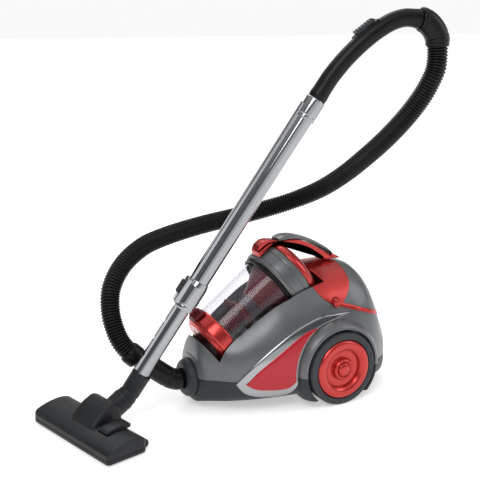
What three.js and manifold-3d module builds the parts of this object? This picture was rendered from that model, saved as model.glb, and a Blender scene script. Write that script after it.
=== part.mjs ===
// Canister vacuum cleaner: chassis with a lift-out cyclone cup, hose, telescopic wand and floor head.
// Millimetres, +Z up. While it is being made, x = 0 is the rear axle, y = 0 the chassis' middle plane
// and z = 0 the floor, with the hose inlet towards -X. The last lines move the origin to the
// middle of the footprint.
import * as THREE from 'three';
import { mergeVertices } from 'three/addons/utils/BufferGeometryUtils.js';
import Module from 'manifold-3d';

const wasm = await Module();
wasm.setup();
const { Manifold, Mesh: SolidMesh } = wasm;

// ---- Driving sizes ----------------------------------------------------------------------------
const GAP = 0.4;            // between neighbouring pieces
const WALL = 3;             // moulded shells
const RUN = 0.06;           // radial clearance of a running fit

const BODY_HALF_WIDTH = 130;
const BODY_FRONT = -262;
const BODY_REAR = 165;
const SEAM_Z = 66;          // base and upper shell meet here
const BODY_BOTTOM = 12;
const CROWN_Z = 255;          // top of the widest sections

const TYRE_R = 72.5;
const TYRE_WIDTH = 30;
const WHEEL_FACE_Y = 145;
const RIM_R = 59.6;
const ARCH_R = 77.5;
const FENDER_R = 94;          // where the flare round the wheel meets the skin
const FENDER_Y = 139;
const AXLE_R = 6;

const CASTER_X = -165;
const CASTER_R = 14;
const CASTER_TRAIL = 12;
const CASTER_POCKET_R = 30;

const CUP_FOOT = new THREE.Vector3(-224, 0, 116);   // middle of the door's face
const CUP_ANGLE = 34.6;     // degrees above the floor
const DOOR_R = 60;
const CUP_R_LOW = 56;
const CUP_R_HIGH = 65.5;
const CUP_WALL = 2.4;
const DOOR_END = 7;
const RING_END = 36;
const COLLAR_START = 176;
const COLLAR_END = 219;
const COLLAR_R = 74.5;
const LID_END = 243;
const DOOR_ROOM = 12;       // space in front of the door for its first swing
const TROUGH_GAP = 3.5;

const INLET_Z = 57;
const INLET_R = 37;
const HOSE_D = 38;
const ELBOW_R = 20.5;
const SPIGOT_R = 17;

const TUBE_LOW_R = 13.6;
const TUBE_HIGH_R = 15.8;
const TUBE_WALL = 1.2;
const GRIP_R = 16.3;
const EXTENSION = 250;      // how far the lower tube slides out
const WAND_FOOT = new THREE.Vector3(-372.9, -29.8, 96.6);  // top of the floor head's socket
const WAND_TOP = new THREE.Vector3(-58.9, -116.5, 591.3);  // top of the upper tube's sleeve

const HEAD_CENTRE = new THREE.Vector3(-485, -45, 0);
const HEAD_TURN = 14.3;     // degrees about the vertical
const HEAD_WIDTH = 240;
const HEAD_DEPTH = 82;
const NECK_R = 21;
const NECK_PIVOT = new THREE.Vector3(22, 0, 24);   // in the head's own frame
const NECK_RING = new THREE.Vector3(-403.8, -24.9, 55.3);  // where the socket turns on the neck

// ---- Colours ----------------------------------------------------------------------------------
const paint = (color, roughness, metalness = 0) =>
  new THREE.MeshStandardMaterial({ color, roughness, metalness });
const GREY = paint(0x6b6e71, 0.4, 0.3);
const CHARCOAL = paint(0x373b3f, 0.55);
const TYRE = paint(0x3f4347, 0.8);
const RED = paint(0xbe3c41, 0.35, 0.4);
const GLOSS_RED = paint(0xaa1928, 0.15);
const DARK_RED = paint(0x6e1420, 0.4);
const CHROME = paint(0xd8dadc, 0.12, 1);
const BLACK = paint(0x141517, 0.3);
const NOZZLE = paint(0x2d3236, 0.6);
const CLEAR = paint(0x9aa6b4, 0.1);
CLEAR.transparent = true;
CLEAR.opacity = 0.35;
const FOAM = paint(0x23262c, 0.95);
const STEEL = paint(0xb4b6b8, 0.35, 0.9);

// ---- Small tools ------------------------------------------------------------------------------
const X = new THREE.Vector3(1, 0, 0);
const Y = new THREE.Vector3(0, 1, 0);
const Z = new THREE.Vector3(0, 0, 1);
const rad = THREE.MathUtils.degToRad;
const at = (x, y, z) => new THREE.Vector3(x, y, z);

function toSolid(geometry) {
  const bare = geometry.clone();
  bare.deleteAttribute('normal');
  bare.deleteAttribute('uv');
  const merged = mergeVertices(bare, 1e-4);
  const mesh = new SolidMesh({
    numProp: 3,
    vertProperties: new Float32Array(merged.attributes.position.array),
    triVerts: new Uint32Array(merged.index.array),
  });
  mesh.merge();
  return new Manifold(mesh);
}

function toGeometry(solid) {
  const mesh = solid.getMesh();
  const geometry = new THREE.BufferGeometry();
  geometry.setAttribute('position', new THREE.BufferAttribute(new Float32Array(mesh.vertProperties), 3));
  geometry.setIndex(new THREE.BufferAttribute(new Uint32Array(mesh.triVerts), 1));
  return geometry;
}

const join = (first, ...rest) => rest.reduce((sum, g) => sum.add(toSolid(g)), toSolid(first));
const joined = (...parts) => toGeometry(join(...parts));
const cut = (body, ...tools) =>
  toGeometry(tools.reduce((left, g) => left.subtract(toSolid(g)), toSolid(body)));
const common = (body, tool) => toGeometry(toSolid(body).intersect(toSolid(tool)));

// A block given by its two far corners.
function block(x0, x1, y0, y1, z0, z1) {
  const g = new THREE.BoxGeometry(x1 - x0, y1 - y0, z1 - z0);
  return g.translate((x0 + x1) / 2, (y0 + y1) / 2, (z0 + z1) / 2);
}

// A flat outline in the X-Z plane, pulled along Y.
function plate(points, y0, y1) {
  const shape = new THREE.Shape(points.map(([x, z]) => new THREE.Vector2(x, z)));
  const g = new THREE.ExtrudeGeometry(shape, { depth: y1 - y0, bevelEnabled: false, curveSegments: 1 });
  g.rotateX(Math.PI / 2);
  return g.translate(0, y1, 0);
}

// Turns a shape made along +Y so that it stands on origin and points along axis.
function aim(geometry, origin, axis, side = Y) {
  const up = axis.clone().normalize();
  const other = Math.abs(up.dot(side)) > 0.9 ? Z : side;
  const across = other.clone().cross(up).normalize();
  const third = across.clone().cross(up);
  const frame = new THREE.Matrix4().makeBasis(across, up, third);
  frame.setPosition(origin);
  return geometry.applyMatrix4(frame);
}

// A turned piece: profile is a list of [radius, distance along the axis].
// A profile that starts off the axis closes on itself as a ring.
function turned(profile, origin, axis, segments = 20) {
  const points = profile.map(([r, a]) => new THREE.Vector2(r, a));
  if (profile[0][0] > 0) points.push(points[0].clone());
  const area = points.reduce((sum, p, i) => {
    const q = points[(i + 1) % points.length];
    return sum + p.x * q.y - q.x * p.y;
  }, 0);
  if (area < 0) points.reverse();
  return aim(new THREE.LatheGeometry(points, segments), origin, axis);
}

const rod = (r, origin, axis, from, to, segments = 16) =>
  turned([[0, from], [r, from], [r, to], [0, to]], origin, axis, segments);
const pipe = (outer, inner, origin, axis, from, to, segments = 18) =>
  turned([[inner, from], [outer, from], [outer, to], [inner, to]], origin, axis, segments);

// A round bar or pipe drawn along a smooth curve.
function bent(points, radius, bore, sides = 12, steps = 14) {
  const curve = new THREE.CatmullRomCurve3(points, false, 'centripetal');
  const ring = (r) => Array.from({ length: sides }, (_, i) => {
    const angle = (2 * Math.PI * i) / sides;
    return new THREE.Vector2(r * Math.cos(angle), r * Math.sin(angle));
  });
  const shape = new THREE.Shape(ring(radius));
  if (bore) shape.holes.push(new THREE.Path(ring(bore).reverse()));
  return new THREE.ExtrudeGeometry(shape, { steps, extrudePath: curve, curveSegments: 1 });
}

// ---- Moving groups ----------------------------------------------------------------------------
const vacuum = new THREE.Group();
vacuum.name = 'canister_vacuum';

function movable(name, parent, pivot) {
  const group = new THREE.Group();
  group.name = name;
  group.userData.pivot = pivot.clone();
  group.position.copy(pivot).sub(parent.userData.pivot);
  parent.add(group);
  return group;
}

function add(group, name, geometry, material) {
  geometry.translate(-group.userData.pivot.x, -group.userData.pivot.y, -group.userData.pivot.z);
  const mesh = new THREE.Mesh(geometry, material);
  mesh.name = name;
  group.add(mesh);
  return mesh;
}

vacuum.userData.pivot = at(0, 0, 0);
const chassis = movable('chassis', vacuum, at(0, 0, 0));

// ---- Chassis skin -----------------------------------------------------------------------------
// Stations along X: position, half width at the seam, height of the crown.
const STATIONS = [
  [BODY_FRONT, 38, 104],
  [-256, 46, 132],
  [-240, 60, 148],
  [-205, 88, 160],
  [-160, 108, 190],
  [-105, 122, 228],
  [-45, BODY_HALF_WIDTH, 250],
  [0, BODY_HALF_WIDTH, CROWN_Z],
  [45, BODY_HALF_WIDTH, CROWN_Z],
  [80, 125, 249],
  [100, 117, 234],
  [112, 110, 212],
  [124, 102, 176],
  [140, 84, 146],
  [155, 60, 112],
  [BODY_REAR, 34, 84],
];
const CROWN_POWER = 2.3;
const BELLY_POWER = 3.2;
const SKIN_SIDES = 22;

// One closed section of the body, grown outwards by offset.
function section([x, half, crown], offset) {
  const ring = [];
  for (let i = 0; i < SKIN_SIDES; i++) {
    const angle = (2 * Math.PI * i) / SKIN_SIDES;
    const c = Math.cos(angle);
    const s = Math.sin(angle);
    const power = s >= 0 ? CROWN_POWER : BELLY_POWER;
    const rise = s >= 0 ? crown + offset - SEAM_Z : SEAM_Z - BODY_BOTTOM + offset;
    const y = (half + offset) * Math.sign(c) * Math.abs(c) ** (2 / power);
    ring.push(at(x, y, SEAM_Z + rise * Math.sign(s) * Math.abs(s) ** (2 / power)));
  }
  return ring;
}

function skin(offset) {
  const last = STATIONS.length - 1;
  const rings = STATIONS.map((station, i) => {
    const shift = i === 0 ? -offset : i === last ? offset : 0;
    return section([station[0] + shift, station[1], station[2]], offset);
  });
  const points = rings.flat();
  const faces = [];
  for (let i = 0; i < last; i++) {
    for (let j = 0; j < SKIN_SIDES; j++) {
      const a = i * SKIN_SIDES + j;
      const b = i * SKIN_SIDES + ((j + 1) % SKIN_SIDES);
      faces.push(a, b, a + SKIN_SIDES, b, b + SKIN_SIDES, a + SKIN_SIDES);
    }
  }
  for (let j = 1; j < SKIN_SIDES - 1; j++) {
    const end = last * SKIN_SIDES;
    faces.push(0, j + 1, j);
    faces.push(end, end + j, end + j + 1);
  }
  const g = new THREE.BufferGeometry();
  g.setAttribute('position', new THREE.Float32BufferAttribute(points.flatMap((p) => p.toArray()), 3));
  g.setIndex(faces);
  return g;
}

// ---- Cup frame: a runs up the axis, r away from it in the middle plane ---------------------------
const CUP_AXIS = at(Math.cos(rad(CUP_ANGLE)), 0, Math.sin(rad(CUP_ANGLE)));
const CUP_NORMAL = at(-Math.sin(rad(CUP_ANGLE)), 0, Math.cos(rad(CUP_ANGLE)));
const onCup = (a, r, y = 0) =>
  CUP_FOOT.clone().addScaledVector(CUP_AXIS, a).addScaledVector(CUP_NORMAL, r).setY(y);
const cupPlate = (points, y0, y1) => plate(points.map(([a, r]) => {
  const p = onCup(a, r);
  return [p.x, p.z];
}), y0, y1);

const TROUGH_END = LID_END + 4;
const lugPocket = (extra) => cupPlate([[-DOOR_ROOM - extra, -40], [26 + extra, -40],
  [26 + extra, -74 - extra],
  [-DOOR_ROOM - extra, -74 - extra]], -18 - extra, 18 + extra);
// The trough that the cup lies in; extra makes the matching outer face of its wall.
function trough(extra) {
  const low = DOOR_R + 2 + TROUGH_GAP + extra;
  const high = COLLAR_R + TROUGH_GAP + extra;
  const start = -DOOR_ROOM - extra;
  const end = TROUGH_END + extra;
  const turn = turned([[0, start], [low, start], [low, RING_END + 6], [high, COLLAR_START - 10],
    [high, end], [0, end]], CUP_FOOT, CUP_AXIS, 24);
  const wedge = toSolid(cupPlate([[start, 0], [end, 0], [end, 260], [start, 260]], -high, high));
  const sides = [1, -1].map((side) => {
    const g = new THREE.BufferGeometry();
    const ends = [[start, low], [RING_END + 6, low], [COLLAR_START - 10, high], [end, high]];
    const ring = ends.flatMap(([a, y]) => [onCup(a, -1, side * y), onCup(a, 300, side * y),
      onCup(a, 300, side * 400), onCup(a, -1, side * 400)]);
    const faces = [];
    for (let k = 0; k < 3; k++) {
      for (let j = 0; j < 4; j++) {
        const p = 4 * k + j;
        const q = 4 * k + ((j + 1) % 4);
        const quad = [p, p + 4, q, q, p + 4, q + 4];
        faces.push(...(side > 0 ? quad : quad.reverse()));
      }
    }
    const caps = [0, 1, 2, 0, 2, 3, 12, 14, 13, 12, 15, 14];
    faces.push(...(side > 0 ? caps : caps.reverse()));
    g.setAttribute('position', new THREE.Float32BufferAttribute(ring.flatMap((p) => p.toArray()), 3));
    g.setIndex(faces);
    return g;
  });
  const slot = sides.reduce((left, g) => left.subtract(toSolid(g)), wedge);
  return toGeometry(toSolid(turn).add(slot).add(toSolid(lugPocket(extra))));
}

const wheelArch = (side, extra) => {
  const inner = WHEEL_FACE_Y - TYRE_WIDTH - 7 - extra;
  return rod(ARCH_R + extra, at(0, side * inner, TYRE_R), at(0, side, 0), 0, 80, 32);
};

// The flare round each wheel, in the part of the casing between the two heights.
const FENDER_FOOT = 16;
const fender = (side, low, high) => common(
  turned([[ARCH_R, 98], [ARCH_R, FENDER_Y - 2], [ARCH_R + 2, FENDER_Y], [ARCH_R + 6, FENDER_Y - 0.5],
    [ARCH_R + 12, FENDER_Y - 9], [FENDER_R, FENDER_Y - 24], [FENDER_R, 98]], at(0, 0, TYRE_R),
    at(0, side, 0), 32),
  block(-120, 120, -200, 200, low, high),
);

const casterPocket = (extra) =>
  rod(CASTER_POCKET_R + extra, at(CASTER_X, 0, 0), Z, -5, 36 + extra, 18);


// Air path: floor of the nose, round the caster and up to the cup's side.
const PORT_A = 158;
const PORT_R = 13;
const PORT_WAY = CUP_NORMAL.clone().multiplyScalar(-0.72).add(at(0, 0.69, 0)).normalize();
const portHole = () => rod(PORT_R, onCup(PORT_A, 0), PORT_WAY, 52, 88, 20);

const BUTTON_R = 9;
const BUTTON_X = 5;
const BUTTON_Z = 196;
const BUTTON_SEAT = BODY_HALF_WIDTH
  * (1 - ((BUTTON_Z - SEAM_Z) / (CROWN_Z - SEAM_Z)) ** CROWN_POWER) ** (1 / CROWN_POWER);
const buttonHole = (side) => rod(BUTTON_R + GAP, at(BUTTON_X, 0, BUTTON_Z), at(0, side, 0),
  BUTTON_SEAT - 12, BUTTON_SEAT + 28, 24);

const OUTLET_R = -34;
const CORD_Y = 16;
const CORD_Z = 42;
const grilleWindow = (extra) => block(120, 190, -34 - extra, 34 + extra, 84 - extra, 130 + extra);

const outerBody = cut(skin(0), wheelArch(1, 0), wheelArch(-1, 0), trough(0), casterPocket(0));
const innerBody = cut(skin(-WALL), wheelArch(1, WALL), wheelArch(-1, WALL), trough(WALL), casterPocket(WALL));
const hollow = cut(
  outerBody,
  innerBody,
  rod(24, at(0, 0, INLET_Z), at(-1, 0, 0), 225, 290, 28),
  rod(AXLE_R + GAP, at(0, 0, TYRE_R), Y, -125, 125, 24),
  rod(4 + RUN, at(CASTER_X, 0, 0), Z, 30, 45, 20),
  rod(20, onCup(0, OUTLET_R), CUP_AXIS, LID_END + 1, LID_END + 12, 24),
  rod(9, at(0, CORD_Y, CORD_Z), X, 150, 190, 20),
  grilleWindow(0),
  portHole(),
  buttonHole(1),
  buttonHole(-1),
);

// Side outlines of the two covers behind the cup, and the room left for them in the upper shell.
const HOOD_EDGE = [[58, 300], [58, 262], [53, 229], [36, 206], [16, 190]];
const HOOD_FOOT = [[60, 177], [114, 158], [190, 146]];
const SADDLE_FRONT = [[2, 190], [-22, 208], [-34, 232], [-38, 300]];
const shift = (points, dx, dz) => points.map(([x, z]) => [x + dx, z + dz]);
const hoodTool = plate([...HOOD_EDGE, ...HOOD_FOOT, [190, 300]], -200, 200);
const saddleTool = plate([...shift(HOOD_EDGE, -GAP, 0), ...SADDLE_FRONT], -200, 200);
const saddleRoom = plate([...HOOD_EDGE, [16, 189.5], ...shift(SADDLE_FRONT, -GAP, -GAP)], -201, 201);
const coverRoom = plate([[190, 301], ...shift([...HOOD_FOOT].reverse(), 0, -GAP), [16, 189.5],
  ...shift(SADDLE_FRONT, -GAP, -GAP), [-38, 301]], -201, 201);

const below = block(-400, 300, -200, 200, -20, SEAM_Z);
const above = block(-400, 300, -200, 200, SEAM_Z + GAP, 400);
const troughWall = common(hollow, trough(WALL + 0.01));
const upperAll = common(hollow, above);

const REEL_X = 78;
const reelFoot = at(REEL_X, 0, 0);
const POST_R = 8;
const REEL_LOW = BODY_BOTTOM + WALL + 2;
const REEL_HEIGHT = 32;
const reelPost = rod(POST_R, reelFoot, Z, BODY_BOTTOM + 1, REEL_LOW + REEL_HEIGHT + 3, 20);
const fenders = (low, high) => [1, -1].map((side) => fender(side, low, high));
const upperFenders = fenders(SEAM_Z + GAP, 200);
add(chassis, 'base_shell', joined(cut(common(hollow, below), trough(WALL + GAP)), reelPost,
  ...fenders(FENDER_FOOT, SEAM_Z)), CHARCOAL);
add(chassis, 'upper_shell', joined(cut(upperAll, coverRoom), cut(troughWall, saddleRoom),
  ...upperFenders.map((f) => cut(f, coverRoom))), GREY);
add(chassis, 'motor_hood', cut(common(upperAll, hoodTool), trough(WALL + GAP)), GREY);
add(chassis, 'red_saddle', common(upperAll, saddleTool), RED);

// Rear air grille: the window's own piece of skin with slots.
const SLOTS = 6;
const slots = Array.from({ length: SLOTS }, (_, i) => block(120, 190, -27, 27, 88.5 + 6.6 * i, 92 + 6.6 * i));
const skinPatch = common(cut(skin(0), skin(-WALL)), grilleWindow(-GAP));
add(chassis, 'exhaust_grille', cut(skinPatch, ...slots), CHARCOAL);

// Thin pieces laid over the skin on each side: chrome leaf, red panel, red band.
const LEAF = [[-208, 62], [-192, 43], [-165, 33], [-125, 31], [-84, 42], [-60, 60], [-50, 130], [10, 158],
  [34, 176], [-12, 180], [-42, 176], [-103, 151], [-151, 119], [-186, 88]];
const PANEL = [[-192, 62], [-166, 49], [-125, 46], [-84, 51], [-60, 70], [-50, 130], [4, 154], [-30, 166],
  [-66, 156], [-120, 124], [-168, 88]];
const BAND = [[15, 196], [60, 181], [114, 162], [190, 150], [190, 142], [114, 153], [60, 172], [15, 187]];
const overlay = (thickness) => cut(skin(thickness), skin(GAP));
const fenderRoom = (side) => rod(FENDER_R + GAP, at(0, 0, TYRE_R), at(0, side, 0), 90, 200, 32);
const sideOf = (side) => (side < 0 ? [-200, -50] : [50, 200]);
for (const [name, side] of [['left', -1], ['right', 1]]) {
  const range = sideOf(side);
  const leaf = common(overlay(2.4), plate(LEAF, ...range));
  const panelRoom = plate(PANEL, ...range);
  const inner = common(overlay(3.2), plate(PANEL, ...range));
  const trimGap = plate(PANEL.map(([x, z]) => [-90 + (x + 90) * 0.985, 105 + (z - 105) * 0.97]), ...range);
  add(chassis, `side_trim_${name}`, cut(leaf, panelRoom, fenderRoom(side)), CHROME);
  add(chassis, `side_panel_${name}`, cut(common(inner, trimGap), fenderRoom(side)), GLOSS_RED);
}
add(chassis, 'red_band', common(overlay(1.8), plate(BAND, -200, 200)), RED);

// Inlet collar and its seal.
const inletWay = at(-1, 0, 0);
const inletFoot = at(0, 0, INLET_Z);
add(chassis, 'inlet_collar', turned([[20, 246], [23.6, 246], [23.6, 262.4], [INLET_R + 1, 262.4],
  [INLET_R + 1, 268], [INLET_R - 3, 276], [INLET_R - 8, 279], [20, 279]], inletFoot, inletWay, 24), CHARCOAL);
add(chassis, 'inlet_duct',
  bent([at(-242, 0, INLET_Z), at(-225, WALL + 5, 58 - WALL), at(-200, WALL + 47, 42 - WALL),
  at(-168, 66, 39),
  at(-115, 68, 44), at(-80, 68, 66), at(-68, 66, 106), at(-61, 64, 134)], 15, 12.8, 8, 14), CHARCOAL);

// Motor, filter, cord reel and outlet gland.
const MOTOR_Z = 112;
const motorFoot = at(0, 0, MOTOR_Z);
add(chassis, 'motor_housing',
  turned([[38, 22], [41, 22], [41, 97], [9, 97], [9, 94], [38, 94]], motorFoot, X), CHARCOAL);
add(chassis, 'exhaust_filter', block(106, 118, -36, 36, 82, 136), FOAM);
add(chassis, 'cord_outlet', turned([[4, 158], [8.6, 158], [8.6, BODY_REAR + GAP], [13, BODY_REAR + GAP],
  [12, BODY_REAR + 4], [4, BODY_REAR + 4]], at(0, CORD_Y, CORD_Z), X, 24), BLACK);

const reel = movable('reel', chassis, at(REEL_X, 0, REEL_LOW + REEL_HEIGHT / 2));
add(reel, 'cord_reel', turned([[POST_R + GAP, 0], [54, 0], [54, 3], [24, 3], [24, REEL_HEIGHT - 3],
  [54, REEL_HEIGHT - 3], [54, REEL_HEIGHT], [POST_R + GAP, REEL_HEIGHT]], at(REEL_X, 0, REEL_LOW), Z, 20),
  CHARCOAL);
const rotor = movable('rotor', chassis, at(60, 0, MOTOR_Z));
add(rotor, 'fan_and_rotor', turned([[0, 24], [4, 24], [4, 29], [33, 29], [33, 36], [12, 41], [4, 43], [4, 50],
  [26, 50], [26, 88], [4, 88], [4, 101], [0, 101]], motorFoot, X), STEEL);

// Buttons at the front ends of the red band: power on the left, cord rewind on the right.
for (const [name, side] of [['power_button', -1], ['rewind_button', 1]]) {
  const way = at(0, side, 0);
  const button = movable(name, chassis, at(BUTTON_X, side * (BUTTON_SEAT + 2), BUTTON_Z));
  add(button, name, turned([[0, -8], [BUTTON_R, -8], [BUTTON_R, 7], [BUTTON_R - 2, 10], [0, 11]],
    at(BUTTON_X, side * BUTTON_SEAT, BUTTON_Z), way, 24), RED);
}

// Rear wheels.
const WHEEL_IN = WHEEL_FACE_Y - TYRE_WIDTH;
for (const [name, side] of [['left', -1], ['right', 1]]) {
  const way = at(0, side, 0);
  const foot = at(0, side * WHEEL_IN, TYRE_R);
  const wheel = movable(`wheel_${name}`, chassis, at(0, side * (WHEEL_IN + TYRE_WIDTH / 2), TYRE_R));
  add(wheel, `tyre_${name}`, turned([[RIM_R + 0.2, 2], [67, 0], [TYRE_R, 4], [TYRE_R, 25], [69, 29],
    [64, 30], [RIM_R + 0.2, 29]], foot, way, 28), TYRE);
  const dish = turned([[0, 3], [RIM_R, 3], [RIM_R, 27], [55, 31], [47, 32], [39, 29], [36, 23], [23, 24],
    [20, 30], [11, 33.4], [0, 34.4]], foot, way, 28);
  const bore = rod(AXLE_R + RUN, foot, way, 0, 27, 24);
  add(wheel, `rim_${name}`, cut(dish, bore), RED);
}

add(chassis, 'rear_axle', rod(AXLE_R, at(0, 0, TYRE_R), Y, -WHEEL_IN - 26.6, WHEEL_IN + 26.6, 24), STEEL);

// Front caster.
const fork = movable('caster_fork', chassis, at(CASTER_X, 0, 30));
const wheelX = CASTER_X + CASTER_TRAIL;
const forkBlock = joined(
  block(CASTER_X - 10, wheelX + 6, -12, 12, 9, 33),
  rod(4, at(CASTER_X, 0, 0), Z, 32, 46, 20),
);
const forkOpen = cut(forkBlock, block(CASTER_X - 11, wheelX + 7, -9, 9, 0, 29.5));
add(fork, 'caster_fork', joined(forkOpen, rod(2, at(wheelX, 0, CASTER_R), Y, -11, 11, 16)), CHARCOAL);
const casterWheel = movable('caster_wheel', fork, at(wheelX, 0, CASTER_R));
add(casterWheel, 'caster_wheel', pipe(CASTER_R, 2 + RUN, at(wheelX, 0, CASTER_R), Y, -8, 8, 28), TYRE);

// ---- Dust cup ---------------------------------------------------------------------------------
const cup = movable('cup', chassis, onCup(0, 0));
const onAxis = (profile, segments = 24) => turned(profile, CUP_FOOT, CUP_AXIS, segments);
const tubeAt = (a) => CUP_R_LOW + ((CUP_R_HIGH - CUP_R_LOW) * (a - DOOR_END)) / (COLLAR_START - DOOR_END);
const LATCH_Y = 14;
const hingeA = 12;
const hingeR = -(DOOR_R + 7);
const hingePin = (r) => rod(r, onCup(hingeA, hingeR), Y, -15, 15, 16);

add(cup, 'cup_tube', cut(onAxis([[tubeAt(14) - CUP_WALL, 14], [tubeAt(14), 14], [CUP_R_HIGH, COLLAR_START],
  [CUP_R_HIGH, COLLAR_START + 12], [CUP_R_HIGH - CUP_WALL, COLLAR_START + 12],
  [CUP_R_HIGH - CUP_WALL, COLLAR_START]]), portHole()), CLEAR);
const ringLugs = [[-14, -8], [8, 14]].map(([y0, y1]) =>
  cupPlate([[8, -DOOR_R + 1], [20, -DOOR_R + 1], [16, hingeR - 3.6], [8, hingeR - 3.6]], y0, y1));
const ringBody = onAxis([[52, DOOR_END + GAP], [DOOR_R, DOOR_END + GAP], [DOOR_R + 2, 12],
  [DOOR_R + 2, RING_END],
  [tubeAt(RING_END) + GAP, RING_END], [tubeAt(14) + GAP, 13.5], [52, 13.5]]);
add(cup, 'cup_ring', joined(ringBody, ...ringLugs, rod(2.1, onCup(hingeA, hingeR), Y, -13, 13, 16)), RED);
add(cup, 'collar_seal', onAxis([[CUP_R_HIGH + GAP, 168], [71, 168], [71, 175], [CUP_R_HIGH + GAP, 175]]),
  BLACK);
add(cup, 'cup_collar',
  onAxis([[CUP_R_HIGH + GAP, COLLAR_START], [COLLAR_R - 2.5, COLLAR_START], [COLLAR_R, 181],
  [COLLAR_R, 213], [COLLAR_R - 2, COLLAR_END], [CUP_R_HIGH + GAP, COLLAR_END]]), GREY);
add(cup, 'cup_lid', cut(onAxis([[0, LID_END - 3], [38, LID_END - 4], [57, 230], [64, COLLAR_END + GAP],
  [COLLAR_R - 3, COLLAR_END + GAP], [71, 226], [66, 233.5], [56, 239], [40, LID_END], [0, LID_END]]),
rod(19, onCup(0, OUTLET_R), CUP_AXIS, 215, 260, 24)), RED);

// Cyclone: cone, screen, skirt and core on one axis, with the filter above.
add(cup, 'cyclone_cone',
  onAxis([[24, 122], [26.4, 122], [55, 180], [55, 186], [52.4, 186], [52.4, 181]], 20), DARK_RED);
add(cup, 'cyclone_screen', onAxis([[22, 101], [25, 101], [25, 121.5], [22, 121.5]], 28), FOAM);
add(cup, 'cyclone_core',
  onAxis([[13, 20], [16, 20], [19, 88], [30, 87], [42, 84], [42.6, 86.4], [31, 92], [25, 100.5],
  [13, 100.5]], 18), DARK_RED);
const PLEATS = 16;
const pleatRing = Array.from({ length: PLEATS * 2 }, (_, i) => {
  const r = i % 2 ? 48 : 38;
  const angle = (Math.PI * i) / PLEATS;
  return new THREE.Vector2(r * Math.cos(angle), r * Math.sin(angle));
});
const pleatShape = new THREE.Shape(pleatRing);
pleatShape.holes.push(new THREE.Path(Array.from({ length: 20 }, (_, i) =>
  new THREE.Vector2(30 * Math.cos((-Math.PI * i) / 10), 30 * Math.sin((-Math.PI * i) / 10)))));
const pleats = new THREE.ExtrudeGeometry(pleatShape, { depth: 26, bevelEnabled: false, curveSegments: 1 });
add(cup, 'cup_filter', aim(pleats.rotateX(-Math.PI / 2), onCup(190, 0), CUP_AXIS), FOAM);

// Carry handle: red arch with a grey grip laid on it.
const GRIP = [[-72, 308], [-44, 309], [-17.5, 304], [15, 288.6], [46, 269.2], [55, 268], [50, 275], [20, 295],
  [-6, 308], [-34, 316], [-58, 317], [-72, 313]];
const foot = onCup(COLLAR_END - 6, COLLAR_R + GAP);
const rear = onCup(183, COLLAR_R + GAP);
const overLid = [[236.5, 66.5], [228, 72.6], [COLLAR_END + 1, COLLAR_R + 1.2]].map(([a, r]) => {
  const p = onCup(a, r);
  return [p.x, p.z];
});
const archSide = [[rear.x, rear.z], [rear.x - 2, rear.z + 9], [-96, 304.5], [-76, 307], [-44, 308.4],
  [-18, 303.4],
  [14, 287.9], [44, 268.6], [52, 262], [50, 256.3], [32, 256.3], [28, 263], [12, 275], [-8, 287], [-34, 297],
  [-50, 299.5], ...overLid, [foot.x, foot.z]];
add(cup, 'handle_arch', plate(archSide, -17, 17), RED);
add(cup, 'handle_grip', plate(GRIP, -15, 15), GREY);

const release = movable('cup_release', cup, at(58, 0, 262));
add(release, 'cup_release',
  plate([[53, 262.4], [53, 267], [58, 266.6], [74, 258], [74, 256], [54, 257]], -13, 13), RED);

const clip = movable('lid_clip', cup, at(-77, 0, 309));
add(clip, 'lid_clip', plate([[rear.x - 4, rear.z + 10], [-115, 303], [-105, 310.5], [-92, 312], [-76, 310],
  [-76, 308], [-97, 306]], -14, 14), RED);

const latch = movable('door_latch', cup, onCup(31, DOOR_R + 4));
const latchBody = cupPlate([[4, DOOR_R + 3], [9, DOOR_R + 9], [24, DOOR_R + 11], [32, DOOR_R + 8],
  [32, DOOR_R + 2.5],
  [9, DOOR_R + 2.5]], -LATCH_Y, LATCH_Y);
add(latch, 'door_latch', latchBody, DARK_RED);

const door = movable('cup_door', cup, onCup(hingeA, hingeR));
const doorLug = cupPlate([[1, -DOOR_R + 3], [DOOR_END - 0.4, -DOOR_R + 2], [DOOR_END - 0.4, hingeR + 4],
  [hingeA + 3.4, hingeR + 4],
  [hingeA + 3.4, hingeR - 3.4], [hingeA - 4, hingeR - 3.4], [1, hingeR + 3]], -7.6, 7.6);
add(door, 'cup_door',
  cut(joined(onAxis([[0, 0], [DOOR_R - 7, 0], [DOOR_R - 1, 5], [DOOR_R - 1, DOOR_END], [0, DOOR_END]]),
  doorLug), hingePin(2.1 + RUN)), RED);

// ---- Hose -------------------------------------------------------------------------------------
const hoseGroup = movable('hose_set', chassis, inletFoot.clone().setX(-262));
const ELBOW = [at(-281, 0, INLET_Z), at(-288, 0, INLET_Z), at(-302, 2, 62), at(-319, 6.5, 74),
  at(-340, 13, 91), at(-358, 19, 104)];
const elbowPipe = joined(bent(ELBOW, ELBOW_R, 0, 12, 8), rod(SPIGOT_R, inletFoot, inletWay, 250, 282, 20));
add(hoseGroup, 'hose_elbow',
  cut(elbowPipe, bent(ELBOW, 14.4, 0, 12, 8), rod(14.4, inletFoot, inletWay, 249, 281, 20)), BLACK);
const ROUTE = [[-361.5, 20.5, 106.8], [-376, 26, 121], [-389, 34, 141], [-397, 44, 168], [-399, 55, 198],
  [-391, 68, 236],
  [-360, 85, 274], [-310, 104, 300], [-266, 118, 309], [-212, 130, 316], [-156, 138, 322], [-98, 140, 328],
  [-36, 132, 338], [34, 108, 358], [76, 66, 386], [98, 16, 422], [108, -40, 463], [119, -94, 508],
  [131, -136, 552],
  [143, -162, 590], [152, -175, 620], [159.5, -178.5, 642], [162, -178, 660], [162.2, -177.6, 675],
  [161.3, -177.3, 688]].map((p) => at(...p));
const cuffWay = ROUTE[1].clone().sub(ROUTE[0]).normalize();
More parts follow.
